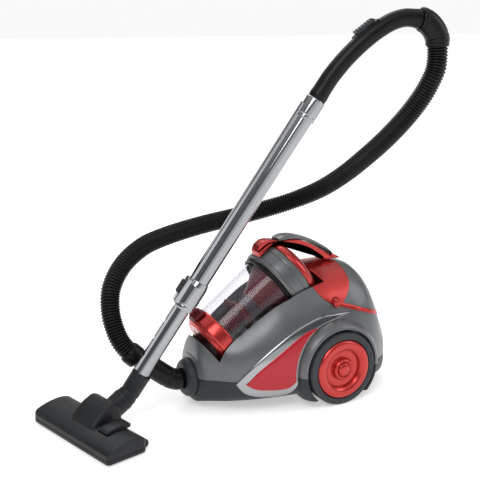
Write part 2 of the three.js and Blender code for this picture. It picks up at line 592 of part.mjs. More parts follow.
add(hoseGroup, 'hose_cuff', pipe(HOSE_D / 2 + 2.6, HOSE_D / 2 + GAP, ROUTE[0], cuffWay, 0, 22, 28), BLACK);
add(hoseGroup, 'hose', bent(ROUTE, HOSE_D / 2, HOSE_D / 2 - 3, 8, 44), BLACK);

// ---- Handle and wand --------------------------------------------------------------------------
const WAND = WAND_TOP.clone().sub(WAND_FOOT).normalize();
const FORE = at(WAND.x, WAND.y, 0).normalize();       // level, towards the handle
const SIDE = Z.clone().cross(FORE);
const BACK = SIDE.clone().cross(WAND).negate();       // off the wand, on the notched side
const inPlane = (s, z) => WAND_FOOT.clone().addScaledVector(FORE, s).setZ(z);
const wandRod = (r, from, to, n = 16) => rod(r, WAND_FOOT, WAND, from, to, n);
// A bar along the wand on its notched side.
function wandBar(width, low, high, from, to) {
  const g = new THREE.BoxGeometry(width, high - low, to - from);
  g.translate(0, (high + low) / 2, (from + to) / 2);
  const frame = new THREE.Matrix4().makeBasis(BACK.clone().cross(WAND), BACK, WAND);
  frame.setPosition(WAND_FOOT);
  return g.applyMatrix4(frame);
}

const SWIVEL_S = 518;
const SWIVEL_Z = 730.5;
const SWIVEL_R = 22;
const swivelWay = FORE.clone().multiplyScalar(0.985).addScaledVector(Z, -0.17).normalize();
const alongEnd = (d) => inPlane(SWIVEL_S, SWIVEL_Z).addScaledVector(swivelWay, d);
const SWIVEL = [alongEnd(0.5), alongEnd(6), inPlane(534, 724), inPlane(545, 713), inPlane(551.5, 702),
  inPlane(554, 694.5), inPlane(554.2, 689)];
add(hoseGroup, 'hose_swivel', bent(SWIVEL, SWIVEL_R, 13.5, 14, 9), BLACK);

const handle = movable('handle', hoseGroup, inPlane(SWIVEL_S, SWIVEL_Z));
const SLEEVE_R = 18.2;
const SLEEVE_LOW = 551;
const SLEEVE_TOP = 592;
const TUBE_TOP = 575;
const TUBE_START = 160;
const RAIL = 9.6;
const RAIL_TOP = 18.4;
const CHANNEL = 13.4;
const CHANNEL_TOP = 20.4;
const GRIP_LINE = [[326.1, 591.8], [338.5, 610.6], [352, 630.5], [378, 661], [409, 690], [440, 713],
  [466, 727],
  [490, 733]].map(([s, z]) => inPlane(s, z)).concat([alongEnd(-7), alongEnd(0)]);
const sliderMid = inPlane(424, 701.5);
const sliderWay = FORE.clone().multiplyScalar(0.80).addScaledVector(Z, 0.60).normalize();
const sliderUp = SIDE.clone().cross(sliderWay).negate();
function sliderBlock(length, width, low, high) {
  const g = new THREE.BoxGeometry(length, width, high - low);
  g.translate(0, 0, (high + low) / 2);
  const frame = new THREE.Matrix4().makeBasis(sliderWay, sliderUp.clone().cross(sliderWay), sliderUp);
  frame.setPosition(sliderMid);
  return g.applyMatrix4(frame);
}
const GRIP_BORE = 13;
add(handle, 'handle_tube', cut(
  joined(bent(GRIP_LINE, GRIP_R, 0, 12, 12), sliderBlock(56, 22, 2, 17.5)),
  bent(GRIP_LINE, GRIP_BORE, 0, 8, 12),
  wandRod(30, SLEEVE_LOW, SLEEVE_TOP + GAP),
), BLACK);
const tubeOuter = joined(
  wandRod(TUBE_HIGH_R, TUBE_START, TUBE_TOP),
  wandBar(CHANNEL, 0, CHANNEL_TOP, TUBE_START, TUBE_TOP),
  wandRod(SLEEVE_R, SLEEVE_LOW, SLEEVE_TOP),
);
const tubeInner = joined(wandRod(TUBE_HIGH_R - TUBE_WALL, TUBE_START - 1, TUBE_TOP + 1),
  wandBar(CHANNEL - 2 * TUBE_WALL, 0, CHANNEL_TOP - TUBE_WALL, TUBE_START - 1, TUBE_TOP + 1));
add(handle, 'upper_tube', cut(tubeOuter, tubeInner, wandRod(GRIP_BORE, TUBE_TOP, SLEEVE_TOP + 1)), CHROME);
const LOCK_LOW = 142.5;
const LOCK_TOP = 202;
const lockOuter = joined(turned([[0, LOCK_LOW], [18.6, LOCK_LOW], [19.2, 150], [19.2, 194],
  [17.2, LOCK_TOP], [0, LOCK_TOP]],
  WAND_FOOT, WAND), wandBar(20, 0, 26, 147, 200));
const lockInner = joined(wandRod(TUBE_LOW_R + GAP, LOCK_LOW - 1, TUBE_START),
  wandBar(RAIL + 2 * GAP, 0, RAIL_TOP + GAP, LOCK_LOW - 1, TUBE_START),
  wandRod(TUBE_HIGH_R + GAP, TUBE_START - GAP, LOCK_TOP + 1),
  wandBar(CHANNEL + 2 * GAP, 0, CHANNEL_TOP + GAP, TUBE_START - GAP, LOCK_TOP + 1));
add(handle, 'lock_sleeve', cut(lockOuter, lockInner, wandBar(13, 21.6, 30, 164, 192)), CHROME);
const slider = movable('suction_slider', handle, sliderMid);
const ribs = Array.from({ length: 5 }, (_, i) => sliderBlock(2.4, 30, 22.4, 28).translate(
  sliderWay.x * (i - 2) * 7, sliderWay.y * (i - 2) * 7, sliderWay.z * (i - 2) * 7));
add(slider, 'suction_slider', cut(sliderBlock(40, 20, 17.9, 24), ...ribs), CHARCOAL);
const lockButton = movable('lock_button', handle, WAND_FOOT.clone().addScaledVector(WAND, 178));
add(lockButton, 'lock_button', wandBar(12, 24, 31, 165, 191), CHARCOAL);

const lower = movable('lower_tube', handle, WAND_FOOT);
const LOW_END = TUBE_START + 30 + EXTENSION;   // 30 mm stays in the upper tube when it is fully out
const notches = Array.from({ length: 11 },
  (_, i) => wandBar(12, RAIL_TOP - 1.6, 24, 30 + 36 * i, 38 + 36 * i));
add(lower, 'lower_tube',
  cut(joined(wandRod(TUBE_LOW_R, -36, LOW_END), wandBar(RAIL, 0, RAIL_TOP, 2, LOW_END)),
  wandRod(TUBE_LOW_R - TUBE_WALL, -40, LOW_END + 1), ...notches), CHROME);

// ---- Floor head -------------------------------------------------------------------------------
const turn = new THREE.Matrix4().makeRotationZ(rad(HEAD_TURN)).setPosition(HEAD_CENTRE);
const inHead = (geometry) => geometry.applyMatrix4(turn);
const pivotWorld = NECK_PIVOT.clone().applyMatrix4(turn);
const NECK_WAY = NECK_RING.clone().sub(pivotWorld).normalize();
const neckLength = NECK_RING.distanceTo(pivotWorld);
const headAxis = Y.clone().applyAxisAngle(Z, rad(HEAD_TURN));

const SOCKET_R = 19.5;
const socketBall = new THREE.SphereGeometry(SOCKET_R, 16, 8).translate(...NECK_RING.toArray());
add(lower, 'neck_socket', cut(
  joined(rod(SOCKET_R, NECK_RING, NECK_WAY, -5, 4, 28), socketBall, wandRod(18.6, -44, 0)),
  wandRod(TUBE_LOW_R + GAP, -37, 1),
rod(40, NECK_RING, NECK_WAY, -60, -5),
wandRod(12.5, -60, -30), rod(13, NECK_RING, NECK_WAY, -8, 8)), NOZZLE);
const neck = movable('neck', lower, NECK_RING);
const neckPipe = joined(rod(NECK_R, pivotWorld, NECK_WAY, 8, neckLength - 5 - GAP, 28),
  rod(19, pivotWorld, headAxis, -20, 20, 28));
add(neck, 'neck_elbow',
  cut(neckPipe, rod(15, pivotWorld, NECK_WAY, 4, neckLength, 20),
  inHead(block(-10, 30, -14, 14, -10, 22))), NOZZLE);

const head = movable('floor_head', neck, pivotWorld);
const HD = HEAD_DEPTH / 2;
const HW = HEAD_WIDTH / 2;
const headSide = (d) => [[-HD + d, 4], [HD - d, 4], [HD - d, 27 - d], [HD - 6, 32 - d], [20, 36 - d],
  [0, 35.5 - d], [-20, 31.5 - d],
  [-36, 25 - d], [-HD + d, 20 - d]];
const HUMP_HALF = 36;
const hump = [[-22, 20], [-14, 38], [4, 54], [20, 63], [33, 67], [HD + 5, 60], [HD + 10, 36], [HD + 8, 8],
  [10, 8]];
const NECK_LOW = 5;
const NECK_HIGH = 38;
const sweep = [];
for (let angle = NECK_LOW; angle <= NECK_HIGH + 0.1; angle += (NECK_HIGH - NECK_LOW) / 3) {
  const room = block(0, 80, -NECK_R - 1, NECK_R + 1, -NECK_R - 0.8, NECK_R + 0.8);
  sweep.push(room.rotateY(-rad(angle)).translate(...NECK_PIVOT.toArray()));
}
const drumRoom = rod(21.4, NECK_PIVOT, Y, -NECK_R - 1, NECK_R + 1, 28);
const PEDAL = { x: 16, y: -62, width: 26 };
const pedalRoom = block(PEDAL.x - 28, PEDAL.x + 26, PEDAL.y - PEDAL.width / 2 - 1.5,
  PEDAL.y + PEDAL.width / 2 + 1.5, 29.5, 70);
const ROLLER_R = 8;
const ROLLER_PIN_R = 2;
const ROLLER_HALF = 5;
const ROLLER_X = HD + ROLLER_R + 2.5;
const ROLLER_SIDES = { left: -96, right: 96 };
const ear = (y0, y1) => plate([[HD - 2, 5], [ROLLER_X + 2, 4.5], [ROLLER_X + 4, 8], [ROLLER_X + 2, 12],
  [HD - 2, 22]], y0, y1);
const rollerMount = (y) => [ear(y - ROLLER_HALF - 3.5, y - ROLLER_HALF - GAP),
  ear(y + ROLLER_HALF + GAP, y + ROLLER_HALF + 3.5),
  rod(ROLLER_PIN_R, at(ROLLER_X, y, ROLLER_R), Y, -ROLLER_HALF - 3, ROLLER_HALF + 3, 16)];
const headOuter = joined(plate(headSide(0), -HW, HW), plate(hump, -HUMP_HALF, HUMP_HALF),
  ...Object.values(ROLLER_SIDES).flatMap(rollerMount));
const headInner = joined(plate(headSide(WALL).map(([x, z]) => [x, z < 10 ? 0 : z]), -HW + WALL, HW - WALL));
add(head, 'head_shell', inHead(cut(headOuter, headInner, drumRoom, ...sweep, pedalRoom)), NOZZLE);
add(head, 'sole_plate',
  inHead(cut(block(-HD + WALL + GAP, HD - WALL - GAP, -HW + WALL + GAP, HW - WALL - GAP, 1, 4.6),
  block(-14, 0, -95, 95, 0, 6), block(-35, -29, -106, 106, 0, 6))), STEEL);
for (const [name, y] of Object.entries(ROLLER_SIDES)) {
  const middle = at(ROLLER_X, y, ROLLER_R);
  const roller = movable(`roller_${name}`, head, middle.clone().applyMatrix4(turn));
  add(roller, `roller_${name}`, inHead(cut(rod(ROLLER_R, middle, Y, -ROLLER_HALF, ROLLER_HALF, 24),
    rod(ROLLER_PIN_R + RUN, middle, Y, -ROLLER_HALF - 1, ROLLER_HALF + 1, 16))), TYRE);
}
const brush = movable('brush', head, at(-32, 0, 6).applyMatrix4(turn));
add(brush, 'brush_strip', inHead(block(-34.2, -29.8, -104, 104, 0, 14)), FOAM);
const pedal = movable('pedal', head, at(PEDAL.x, PEDAL.y, 34).applyMatrix4(turn));
add(pedal, 'pedal', inHead(plate([[PEDAL.x - 26, 34], [PEDAL.x - 26, 38], [PEDAL.x - 8, 43],
  [PEDAL.x + 22, 43], [PEDAL.x + 24, 40],
  [PEDAL.x + 24, 36], [PEDAL.x, 33]], PEDAL.y - PEDAL.width / 2, PEDAL.y + PEDAL.width / 2)), NOZZLE);

// ---- Origin: middle of the footprint, without the hose ---------------------------------------
vacuum.updateMatrixWorld(true);
const HOSE_NODES = ['hose', 'hose_cuff', 'hose_elbow', 'hose_swivel'];
const extent = new THREE.Box3();
vacuum.traverse((node) => {
  if (node.isMesh && !HOSE_NODES.includes(node.name)) extent.expandByObject(node, true);
});
const middle = extent.getCenter(new THREE.Vector3());
chassis.position.sub(at(middle.x, middle.y, extent.min.z));

export default vacuum;
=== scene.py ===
"""Canister vacuum cleaner: the looks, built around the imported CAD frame.

Shapes are worked out in millimetres with x = 0 at the rear axle, y = 0 in the chassis' middle
plane and z = 0 at the floor, as in the CAD source, and turned into the frame's metres by to_frame().
"""

from math import asin, copysign, cos, exp, pi, radians, sin, sqrt

import bmesh
import bpy
from mathutils import Matrix, Vector


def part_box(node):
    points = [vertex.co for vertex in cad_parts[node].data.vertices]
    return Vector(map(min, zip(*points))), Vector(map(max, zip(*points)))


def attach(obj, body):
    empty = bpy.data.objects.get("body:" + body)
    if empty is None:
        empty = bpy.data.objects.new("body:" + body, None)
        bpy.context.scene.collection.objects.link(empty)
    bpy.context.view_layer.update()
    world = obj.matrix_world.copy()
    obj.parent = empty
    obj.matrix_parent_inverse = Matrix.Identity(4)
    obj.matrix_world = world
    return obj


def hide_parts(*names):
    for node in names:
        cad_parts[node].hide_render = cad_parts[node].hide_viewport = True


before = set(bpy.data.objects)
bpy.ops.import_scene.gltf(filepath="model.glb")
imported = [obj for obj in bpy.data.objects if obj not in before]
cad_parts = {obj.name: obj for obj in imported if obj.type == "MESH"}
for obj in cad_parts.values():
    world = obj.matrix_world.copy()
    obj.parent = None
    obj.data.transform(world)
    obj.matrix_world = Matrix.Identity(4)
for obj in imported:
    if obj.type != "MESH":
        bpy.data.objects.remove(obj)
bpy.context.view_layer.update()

MM = 0.001
X, Y, Z = Vector((1, 0, 0)), Vector((0, 1, 0)), Vector((0, 0, 1))
axle_low, axle_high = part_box("rear_axle")
ORIGIN = (axle_low + axle_high) / 2
ORIGIN.z = 0


def to_frame(p):
    return ORIGIN + Vector(p) * MM


# ---- Camera -----------------------------------------------------------------------------------
CAMERA_PLACE = (-0.7600, -1.4637, 0.7353)
CAMERA_LENS = 67.5
CAMERA_DOWN, CAMERA_TURN = 13.95, -28.43


def make_camera():
    data = bpy.data.cameras.new("camera")
    data.lens = CAMERA_LENS
    data.sensor_width = 36
    camera = bpy.data.objects.new("camera", data)
    bpy.context.collection.objects.link(camera)
    camera.location = CAMERA_PLACE
    camera.rotation_euler = (radians(90 - CAMERA_DOWN), 0, radians(CAMERA_TURN))
    bpy.context.scene.camera = camera


make_camera()


# ---- Curves and outlines ----------------------------------------------------------------------
def spline(points, per=8, closed=False):
    """A smooth curve through the points (centripetal Catmull-Rom), with per steps between two of them."""
    points = [Vector(p) for p in points]
    count = len(points)
    if closed:
        before, after = points[-1], [points[0], points[1]]
    else:
        before = points[0] * 2 - points[1]
        after = [points[-1] * 2 - points[-2]]
    chain = [before] + points + after
    spans = count if closed else count - 1
    out = []
    for i in range(spans):
        p0, p1, p2, p3 = chain[i:i + 4]
        d0, d1, d2 = [max((b - a).length, 1e-6) ** 0.5 for a, b in ((p0, p1), (p1, p2), (p2, p3))]
        t1 = ((p1 - p0) / d0 - (p2 - p0) / (d0 + d1) + (p2 - p1) / d1) * d1
        t2 = ((p2 - p1) / d1 - (p3 - p1) / (d1 + d2) + (p3 - p2) / d2) * d1
        for k in range(per):
            t = k / per
            out.append(p1 * (2 * t**3 - 3 * t**2 + 1) + t1 * (t**3 - 2 * t**2 + t)
                + p2 * (3 * t**2 - 2 * t**3) + t2 * (t**3 - t**2))
    if not closed:
        out.append(points[-1].copy())
    return out


def evenly(points, count):
    """The same curve with count + 1 points at even distances."""
    run = [0.0]
    for a, b in zip(points, points[1:]):
        run.append(run[-1] + (b - a).length)
    out, i = [], 0
    for k in range(count + 1):
        d = run[-1] * k / count
        while i < len(run) - 2 and run[i + 1] < d:
            i += 1
        t = (d - run[i]) / max(run[i + 1] - run[i], 1e-9)
        out.append(points[i].lerp(points[i + 1], t))
    return out


def flat_spline(points, per=10):
    return spline([Vector((x, z, 0)) for x, z in points], per)


def as_pairs(points):
    return [(p[0], p[1]) for p in points]


def curve(points, per=6):
    """A smooth flat curve, as pairs."""
    return as_pairs(flat_spline(points, per))


def length_of(points):
    return sum((b - a).length for a, b in zip(points, points[1:]))


def rounded(points, radius, closed=True, steps=4):
    """An outline with its corners rounded off."""
    points = [Vector(p) for p in points]
    out = []
    last = len(points) - 1
    for i, p in enumerate(points):
        if not closed and i in (0, last):
            out.append(p)
            continue
        a, b = points[i - 1], points[(i + 1) % len(points)]
        start = p + (a - p).normalized() * min(radius, (a - p).length * 0.45)
        end = p + (b - p).normalized() * min(radius, (b - p).length * 0.45)
        for k in range(steps + 1):
            t = k / steps
            out.append(start * (1 - t) ** 2 + p * 2 * t * (1 - t) + end * t**2)
    return out


def inset(points, d):
    """A closed flat outline moved inwards by d."""
    area = sum(a[0] * b[1] - b[0] * a[1] for a, b in zip(points, points[1:] + points[:1]))
    turn = 1 if area > 0 else -1
    out = []
    for i, p in enumerate(points):
        e1 = (p - points[i - 1]).normalized()
        e2 = (points[(i + 1) % len(points)] - p).normalized()
        n = Vector((-(e1[1] + e2[1]), e1[0] + e2[0]))
        if n.length < 1e-6:
            n = Vector((-e1[1], e1[0]))
        n.normalize()
        slope = max(0.6, abs(n.dot(Vector((-e1[1], e1[0])))))
        out.append(p + n * turn * d / slope)
    return out


# ---- Meshes -----------------------------------------------------------------------------------
def mesh_object(name, points, faces, sharp=38):
    mesh = bpy.data.meshes.new(name)
    mesh.from_pydata([to_frame(p) for p in points], [], faces)
    bm = bmesh.new()
    bm.from_mesh(mesh)
    bmesh.ops.remove_doubles(bm, verts=bm.verts, dist=1e-6)
    bmesh.ops.recalc_face_normals(bm, faces=bm.faces)
    bm.to_mesh(mesh)
    bm.free()
    obj = bpy.data.objects.new(name, mesh)
    bpy.context.collection.objects.link(obj)
    smooth(obj, sharp)
    return obj


def smooth(obj, angle=38):
    obj.data.shade_smooth()
    obj.data.set_sharp_from_angle(angle=radians(angle))


def skinned(name, rings, caps=True, loop=False, sharp=38):
    """A surface through closed rings of equally many points."""
    count = len(rings[0])
    points = [p for ring in rings for p in ring]
    faces = []
    for i in range(len(rings) if loop else len(rings) - 1):
        a, b = i * count, ((i + 1) % len(rings)) * count
        for j in range(count):
            k = (j + 1) % count
            faces.append((a + j, a + k, b + k, b + j))
    if caps and not loop:
        faces.append(tuple(range(count)))
        faces.append(tuple(range(len(points) - count, len(points))))
    return mesh_object(name, points, faces, sharp)


def axes_for(axis, side=Y):
    up = Vector(axis).normalized()
    other = Z if abs(up.dot(side)) > 0.9 else side
    across = other.cross(up).normalized()
    return across, up, across.cross(up)


def turned(name, profile, origin, axis, round_off=0.0, segments=96, sharp=38):
    """A turned piece; profile is [radius, distance along the axis], closed unless it starts on the axis."""
    closed = profile[0][0] > 0
    line = rounded(profile, round_off, closed) if round_off else [Vector(p) for p in profile]
    across, up, third = axes_for(axis)
    origin = Vector(origin)
    rings = []
    for r, a in line:
        radius = max(r, 1e-4)
        rings.append([origin + up * a + (across * cos(w) + third * sin(w)) * radius
            for w in (2 * pi * i / segments for i in range(segments))])
    return skinned(name, rings, caps=False, loop=closed, sharp=sharp)


def rod(name, radius, origin, axis, start, end, segments=64, round_off=0.0):
    return turned(name, [[0, start], [radius, start], [radius, end], [0, end]], origin, axis, round_off,
        segments)


def slab(name, outline, y0, y1, edge=1.5, corner=0.0, steps=4, to_point=None, sharp=38):
    """A flat outline in the X-Z plane (or one given by to_point) pulled along Y, with rounded edges."""
    flat = rounded(outline, corner) if corner else [Vector(p) for p in outline]
    to_point = to_point or (lambda u, v, y: Vector((u, y, v)))
    levels = []
    for k in range(steps + 1):
        w = pi / 2 * k / steps
        levels.append((edge * (1 - sin(w)), y0 + edge * (1 - cos(w))))
    levels += [(d, y0 + y1 - y) for d, y in reversed(levels)]
    rings = [[to_point(p[0], p[1], y) for p in (inset(flat, d) if d > 1e-6 else flat)] for d, y in levels]
    return skinned(name, rings, sharp=sharp)


def box(name, x0, x1, y0, y1, z0, z1, edge=0.0):
    outline = [(x0, z0), (x1, z0), (x1, z1), (x0, z1)]
    if edge:
        return slab(name, outline, y0, y1, edge, edge)
    return slab(name, outline, y0, y1, 0, 0, 1)


def swept(name, path, radius, sides=48, bore=None, start_normal=Y, sharp=38):
    """A round piece along a path. radius is a number or a function of the share of the length done."""
    give = radius if callable(radius) else (lambda t: radius)
    total = length_of(path)
    last = len(path) - 1
    tangents = [(path[min(i + 1, last)] - path[max(i - 1, 0)]).normalized() for i in range(len(path))]
    normal = Vector(start_normal)
    done, frames = 0.0, []
    for i, p in enumerate(path):
        if i:
            done += (p - path[i - 1]).length
        normal = (normal - tangents[i] * normal.dot(tangents[i])).normalized()
        frames.append((p, normal.copy(), tangents[i].cross(normal), done / total))

    def ring(place, r):
        p, n, b, _ = place
        return [p + (n * cos(w) + b * sin(w)) * r for w in (2 * pi * i / sides for i in range(sides))]

    rings = [ring(f, give(f[3])) for f in frames]
    if bore:
        rings += [ring(f, bore) for f in reversed(frames)]
    return skinned(name, rings, caps=not bore, loop=bool(bore), sharp=sharp)


def bake(obj):
    """Puts an object's modifiers into its mesh."""
    graph = bpy.context.evaluated_depsgraph_get()
    mesh = bpy.data.meshes.new_from_object(obj.evaluated_get(graph))
    obj.modifiers.clear()
    obj.data = mesh


def combine(obj, tools, how, keep=False):
    for tool in tools:
        step = obj.modifiers.new("combine", "BOOLEAN")
        step.operation = how
        step.solver = "MANIFOLD"
        step.object = tool
    bake(obj)
    if not keep:
        for tool in tools:
            bpy.data.objects.remove(tool)
    return obj


def cut(obj, *tools):
    return combine(obj, tools, "DIFFERENCE")


def join(obj, *tools):
    return combine(obj, tools, "UNION")


def common(obj, *tools):
    return combine(obj, tools, "INTERSECT")


def copy_of(obj, name):
    other = obj.copy()
    other.data = obj.data.copy()
    other.name = name
    bpy.context.collection.objects.link(other)
    return other


def soften(obj, width=0.8, angle=40, segments=3, sharp=38):
    """Rounds the edges left by cuts."""
    bevel = obj.modifiers.new("edges", "BEVEL")
    bevel.width = width * MM
    bevel.segments = segments
    bevel.limit_method = "ANGLE"
    bevel.angle_limit = radians(angle)
    bevel.use_clamp_overlap = True
    bake(obj)
    smooth(obj, sharp)
    return obj


# ---- Materials --------------------------------------------------------------------------------
def surface(name, color, rough, metal=0.0, tone=0.05, grain=700, bump=0.08, rough_spread=0.06, coat=0.0,
    coat_rough=0.08, specular=0.5, stretch=None, flake=0.0):
    """A moulded, painted or plated surface: uneven tone, uneven gloss and a fine skin texture."""
    mat = bpy.data.materials.new(name)
    mat.use_nodes = True
    nodes, links = mat.node_tree.nodes, mat.node_tree.links
    shader = nodes["Principled BSDF"]
    shader.inputs["Metallic"].default_value = metal
    shader.inputs["Coat Weight"].default_value = coat
    shader.inputs["Coat Roughness"].default_value = coat_rough
    shader.inputs["Specular IOR Level"].default_value = specular
    place = nodes.new("ShaderNodeTexCoord").outputs["Object"]
    if stretch:
        mapping = nodes.new("ShaderNodeMapping")
        mapping.inputs["Scale"].default_value = stretch
        links.new(place, mapping.inputs["Vector"])
        place = mapping.outputs["Vector"]

    def noise(scale, detail=3.0):
        n = nodes.new("ShaderNodeTexNoise")
        n.inputs["Scale"].default_value = scale
        n.inputs["Detail"].default_value = detail
        links.new(place, n.inputs["Vector"])
        return n.outputs["Fac"]

    def spread(source, low, high):
        r = nodes.new("ShaderNodeMapRange")
        r.inputs["From Min"].default_value = 0.3
        r.inputs["From Max"].default_value = 0.7
        r.inputs["To Min"].default_value = low
        r.inputs["To Max"].default_value = high
        links.new(source, r.inputs["Value"])
        return r.outputs["Result"]

    mix = nodes.new("ShaderNodeMix")
    mix.data_type = "RGBA"
    mix.inputs["A"].default_value = (*[c * (1 - tone) for c in color], 1)
    mix.inputs["B"].default_value = (*[min(1, c * (1 + tone) + tone * 0.02) for c in color], 1)
    links.new(spread(noise(14), 0, 1), mix.inputs["Factor"])
    colour = mix.outputs["Result"]
    if flake:
        cells = nodes.new("ShaderNodeTexVoronoi")
        cells.inputs["Scale"].default_value = 5000
        links.new(place, cells.inputs["Vector"])
        spark = nodes.new("ShaderNodeMix")
        spark.data_type = "RGBA"
        spark.blend_type = "SOFT_LIGHT"
        spark.inputs["Factor"].default_value = flake
        links.new(colour, spark.inputs["A"])
        links.new(cells.outputs["Color"], spark.inputs["B"])
        colour = spark.outputs["Result"]
    links.new(colour, shader.inputs["Base Color"])
    links.new(spread(noise(30, 4), max(0.02, rough - rough_spread), rough + rough_spread),
        shader.inputs["Roughness"])
    if bump:
        relief = nodes.new("ShaderNodeBump")
        relief.inputs["Strength"].default_value = bump
        relief.inputs["Distance"].default_value = 0.0004
        links.new(noise(grain, 2), relief.inputs["Height"])
        links.new(relief.outputs["Normal"], shader.inputs["Normal"])
    return mat


def clear_plastic(name, color, rough=0.03):
    mat = surface(name, color, rough, 0, tone=0.02, bump=0.01, rough_spread=0.015, specular=0.5)
    shader = mat.node_tree.nodes["Principled BSDF"]
    shader.inputs["Transmission Weight"].default_value = 0.99
    shader.inputs["IOR"].default_value = 1.08
    shader.inputs["Coat Weight"].default_value = 0.5
    shader.inputs["Coat Roughness"].default_value = 0.03
    return mat


def mesh_screen(name, color):
    """A fine woven or punched screen."""
    mat = surface(name, color, 0.6, 0, tone=0.1, bump=0)
    nodes, links = mat.node_tree.nodes, mat.node_tree.links
    cells = nodes.new("ShaderNodeTexVoronoi")
    cells.inputs["Scale"].default_value = 420
    cells.feature = "DISTANCE_TO_EDGE"
    links.new(nodes["Texture Coordinate"].outputs["Object"], cells.inputs["Vector"])
    relief = nodes.new("ShaderNodeBump")
    relief.inputs["Strength"].default_value = 0.9
    relief.inputs["Distance"].default_value = 0.0015
    links.new(cells.outputs["Distance"], relief.inputs["Height"])
    links.new(relief.outputs["Normal"], nodes["Principled BSDF"].inputs["Normal"])
    return mat


MATERIALS = {
    "shell_grey": surface("grey_metallic", (0.115, 0.120, 0.125), 0.36, 0.5,
        flake=0.12, coat=0.3, coat_rough=0.18),
    "charcoal": surface("charcoal_plastic", (0.021, 0.025, 0.028), 0.46,
        tone=0.08, grain=1400, bump=0.2, specular=0.3),
    "tyre": surface("tyre_rubber", (0.036, 0.041, 0.045), 0.6, tone=0.12, grain=1100, bump=0.3, specular=0.3),
    "red_metallic": surface("red_metallic", (0.47, 0.032, 0.028), 0.29, 0.8,
        flake=0.12, coat=0.35, coat_rough=0.12),
    "red_gloss": surface("red_gloss", (0.40, 0.006, 0.016), 0.22, 0.1,
        coat=0.35, coat_rough=0.04, bump=0.02, specular=0.3),
    "dark_red": surface("dark_red", (0.13, 0.003, 0.011), 0.36, specular=0.2),
    "chrome": surface("chrome", (0.34, 0.35, 0.36), 0.09, 1.0,
        tone=0.04, grain=900, bump=0.02, rough_spread=0.03),
    "black_gloss": surface("black_gloss", (0.0015, 0.0018, 0.0022), 0.36, tone=0.1, bump=0.04, specular=0.22),
    "nozzle": surface("nozzle_plastic", (0.008, 0.0095, 0.011), 0.46,
        tone=0.12, grain=1500, bump=0.25, specular=0.28),
    "clear": clear_plastic("clear_plastic", (0.90, 0.90, 0.93)),
    "foam": surface("foam", (0.014, 0.018, 0.034), 0.85, tone=0.3, grain=500, bump=0.9, specular=0.2),
    "steel": surface("steel", (0.5, 0.51, 0.52), 0.3, 1.0,
        tone=0.05, grain=1200, bump=0.05, stretch=(1, 1, 14)),
}
SCREEN = mesh_screen("screen", (0.05, 0.03, 0.04))


def piece(obj, body, slot, nodes=(), material=None):
    """Gives a finished mesh its finish and its body, and hides the CAD nodes that it stands for."""
    obj.data.materials.clear()
    obj.data.materials.append(material or MATERIALS[slot])
    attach(obj, body)
    if nodes:
        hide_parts(*([nodes] if isinstance(nodes, str) else nodes))
    return obj


# ---- Hose: one free, corrugated hose from the elbow's cuff to the handle's swivel --------------
ROUTE = [(-361.5, 20.5, 106.8), (-376, 26, 121), (-389, 34, 141), (-397, 44, 168), (-399, 55, 198),
    (-391, 68, 236), (-360, 85, 274), (-310, 104, 300), (-266, 118, 309), (-212, 130, 316),
    (-156, 138, 322), (-98, 140, 328), (-36, 132, 338), (34, 108, 358), (76, 66, 386), (98, 16, 422),
    (108, -40, 463), (119, -94, 508), (131, -136, 552), (143, -162, 590), (152, -175, 620),
    (159.5, -178.5, 642), (162, -178, 660), (162.2, -177.6, 675), (161.3, -177.3, 688)]
HOSE_R = 19
RIB_DEPTH = 2.4
RIB_PITCH = 5.4
RINGS_PER_RIB = 6


def make_hose():
    line = spline(ROUTE, 24)
    length = length_of(line)
    ribs = round(length / RIB_PITCH)
    line = evenly(line, ribs * RINGS_PER_RIB)

    def radius(t):
        wave = 0.5 + 0.5 * cos(2 * pi * ribs * t)
        return HOSE_R - RIB_DEPTH * (1 - wave ** 0.6)

    hose = swept("hose_ribbed", line, radius, sides=40, bore=HOSE_R - RIB_DEPTH - 1.2, sharp=80)
    piece(hose, "hose_set", "black_gloss", "hose")
    cuff_way = (line[2] - line[0]).normalized()
    cuff = turned("hose_cuff_ring", [[HOSE_R + 0.4, 0], [21.2, 0], [21.8, 3], [21.8, 18], [20.6, 22],
        [HOSE_R + 0.4, 22]], ROUTE[0], cuff_way, 1.2)
    piece(cuff, "hose_set", "black_gloss", "hose_cuff")


make_hose()


# ---- Chassis skin -----------------------------------------------------------------------------
# Position, half width at the seam, height of the crown.
STATIONS = [(-262, 38, 104), (-256, 46, 132), (-240, 60, 148), (-205, 88, 160), (-160, 108, 190),
    (-105, 122, 228), (-45, 130, 250), (0, 130, 255), (45, 130, 255), (80, 125, 249), (100, 117, 234),
    (112, 110, 212), (124, 102, 176), (140, 84, 146), (155, 60, 112), (165, 34, 84)]
SEAM_Z = 66
BELLY_Z = 12
CROWN_POWER = 2.3
BELLY_POWER = 3.2
SKIN_SIDES = 128
END_ROUND = 7
WALL = 3
GAP = 0.4
SIDES = {"left": -1, "right": 1}


def through(xs, ys):
    """A smooth function through the values, which never overshoots them."""
    steps = [b - a for a, b in zip(xs, xs[1:])]
    rates = [(b - a) / h for a, b, h in zip(ys, ys[1:], steps)]
    slopes = [rates[0]]
    for r0, r1, h0, h1 in zip(rates, rates[1:], steps, steps[1:]):
        if r0 * r1 <= 0:
            slopes.append(0)
        else:
            w0, w1 = 2 * h1 + h0, h1 + 2 * h0
            slopes.append((w0 + w1) / (w0 / r0 + w1 / r1))
    slopes.append(rates[-1])

    def value(x):
        x = min(max(x, xs[0]), xs[-1])
        i = max(k for k in range(len(xs) - 1) if xs[k] <= x)
        t = (x - xs[i]) / steps[i]
        return (ys[i] * (2 * t**3 - 3 * t**2 + 1) + slopes[i] * steps[i] * (t**3 - 2 * t**2 + t)
            + ys[i + 1] * (3 * t**2 - 2 * t**3) + slopes[i + 1] * steps[i] * (t**3 - t**2))
    return value


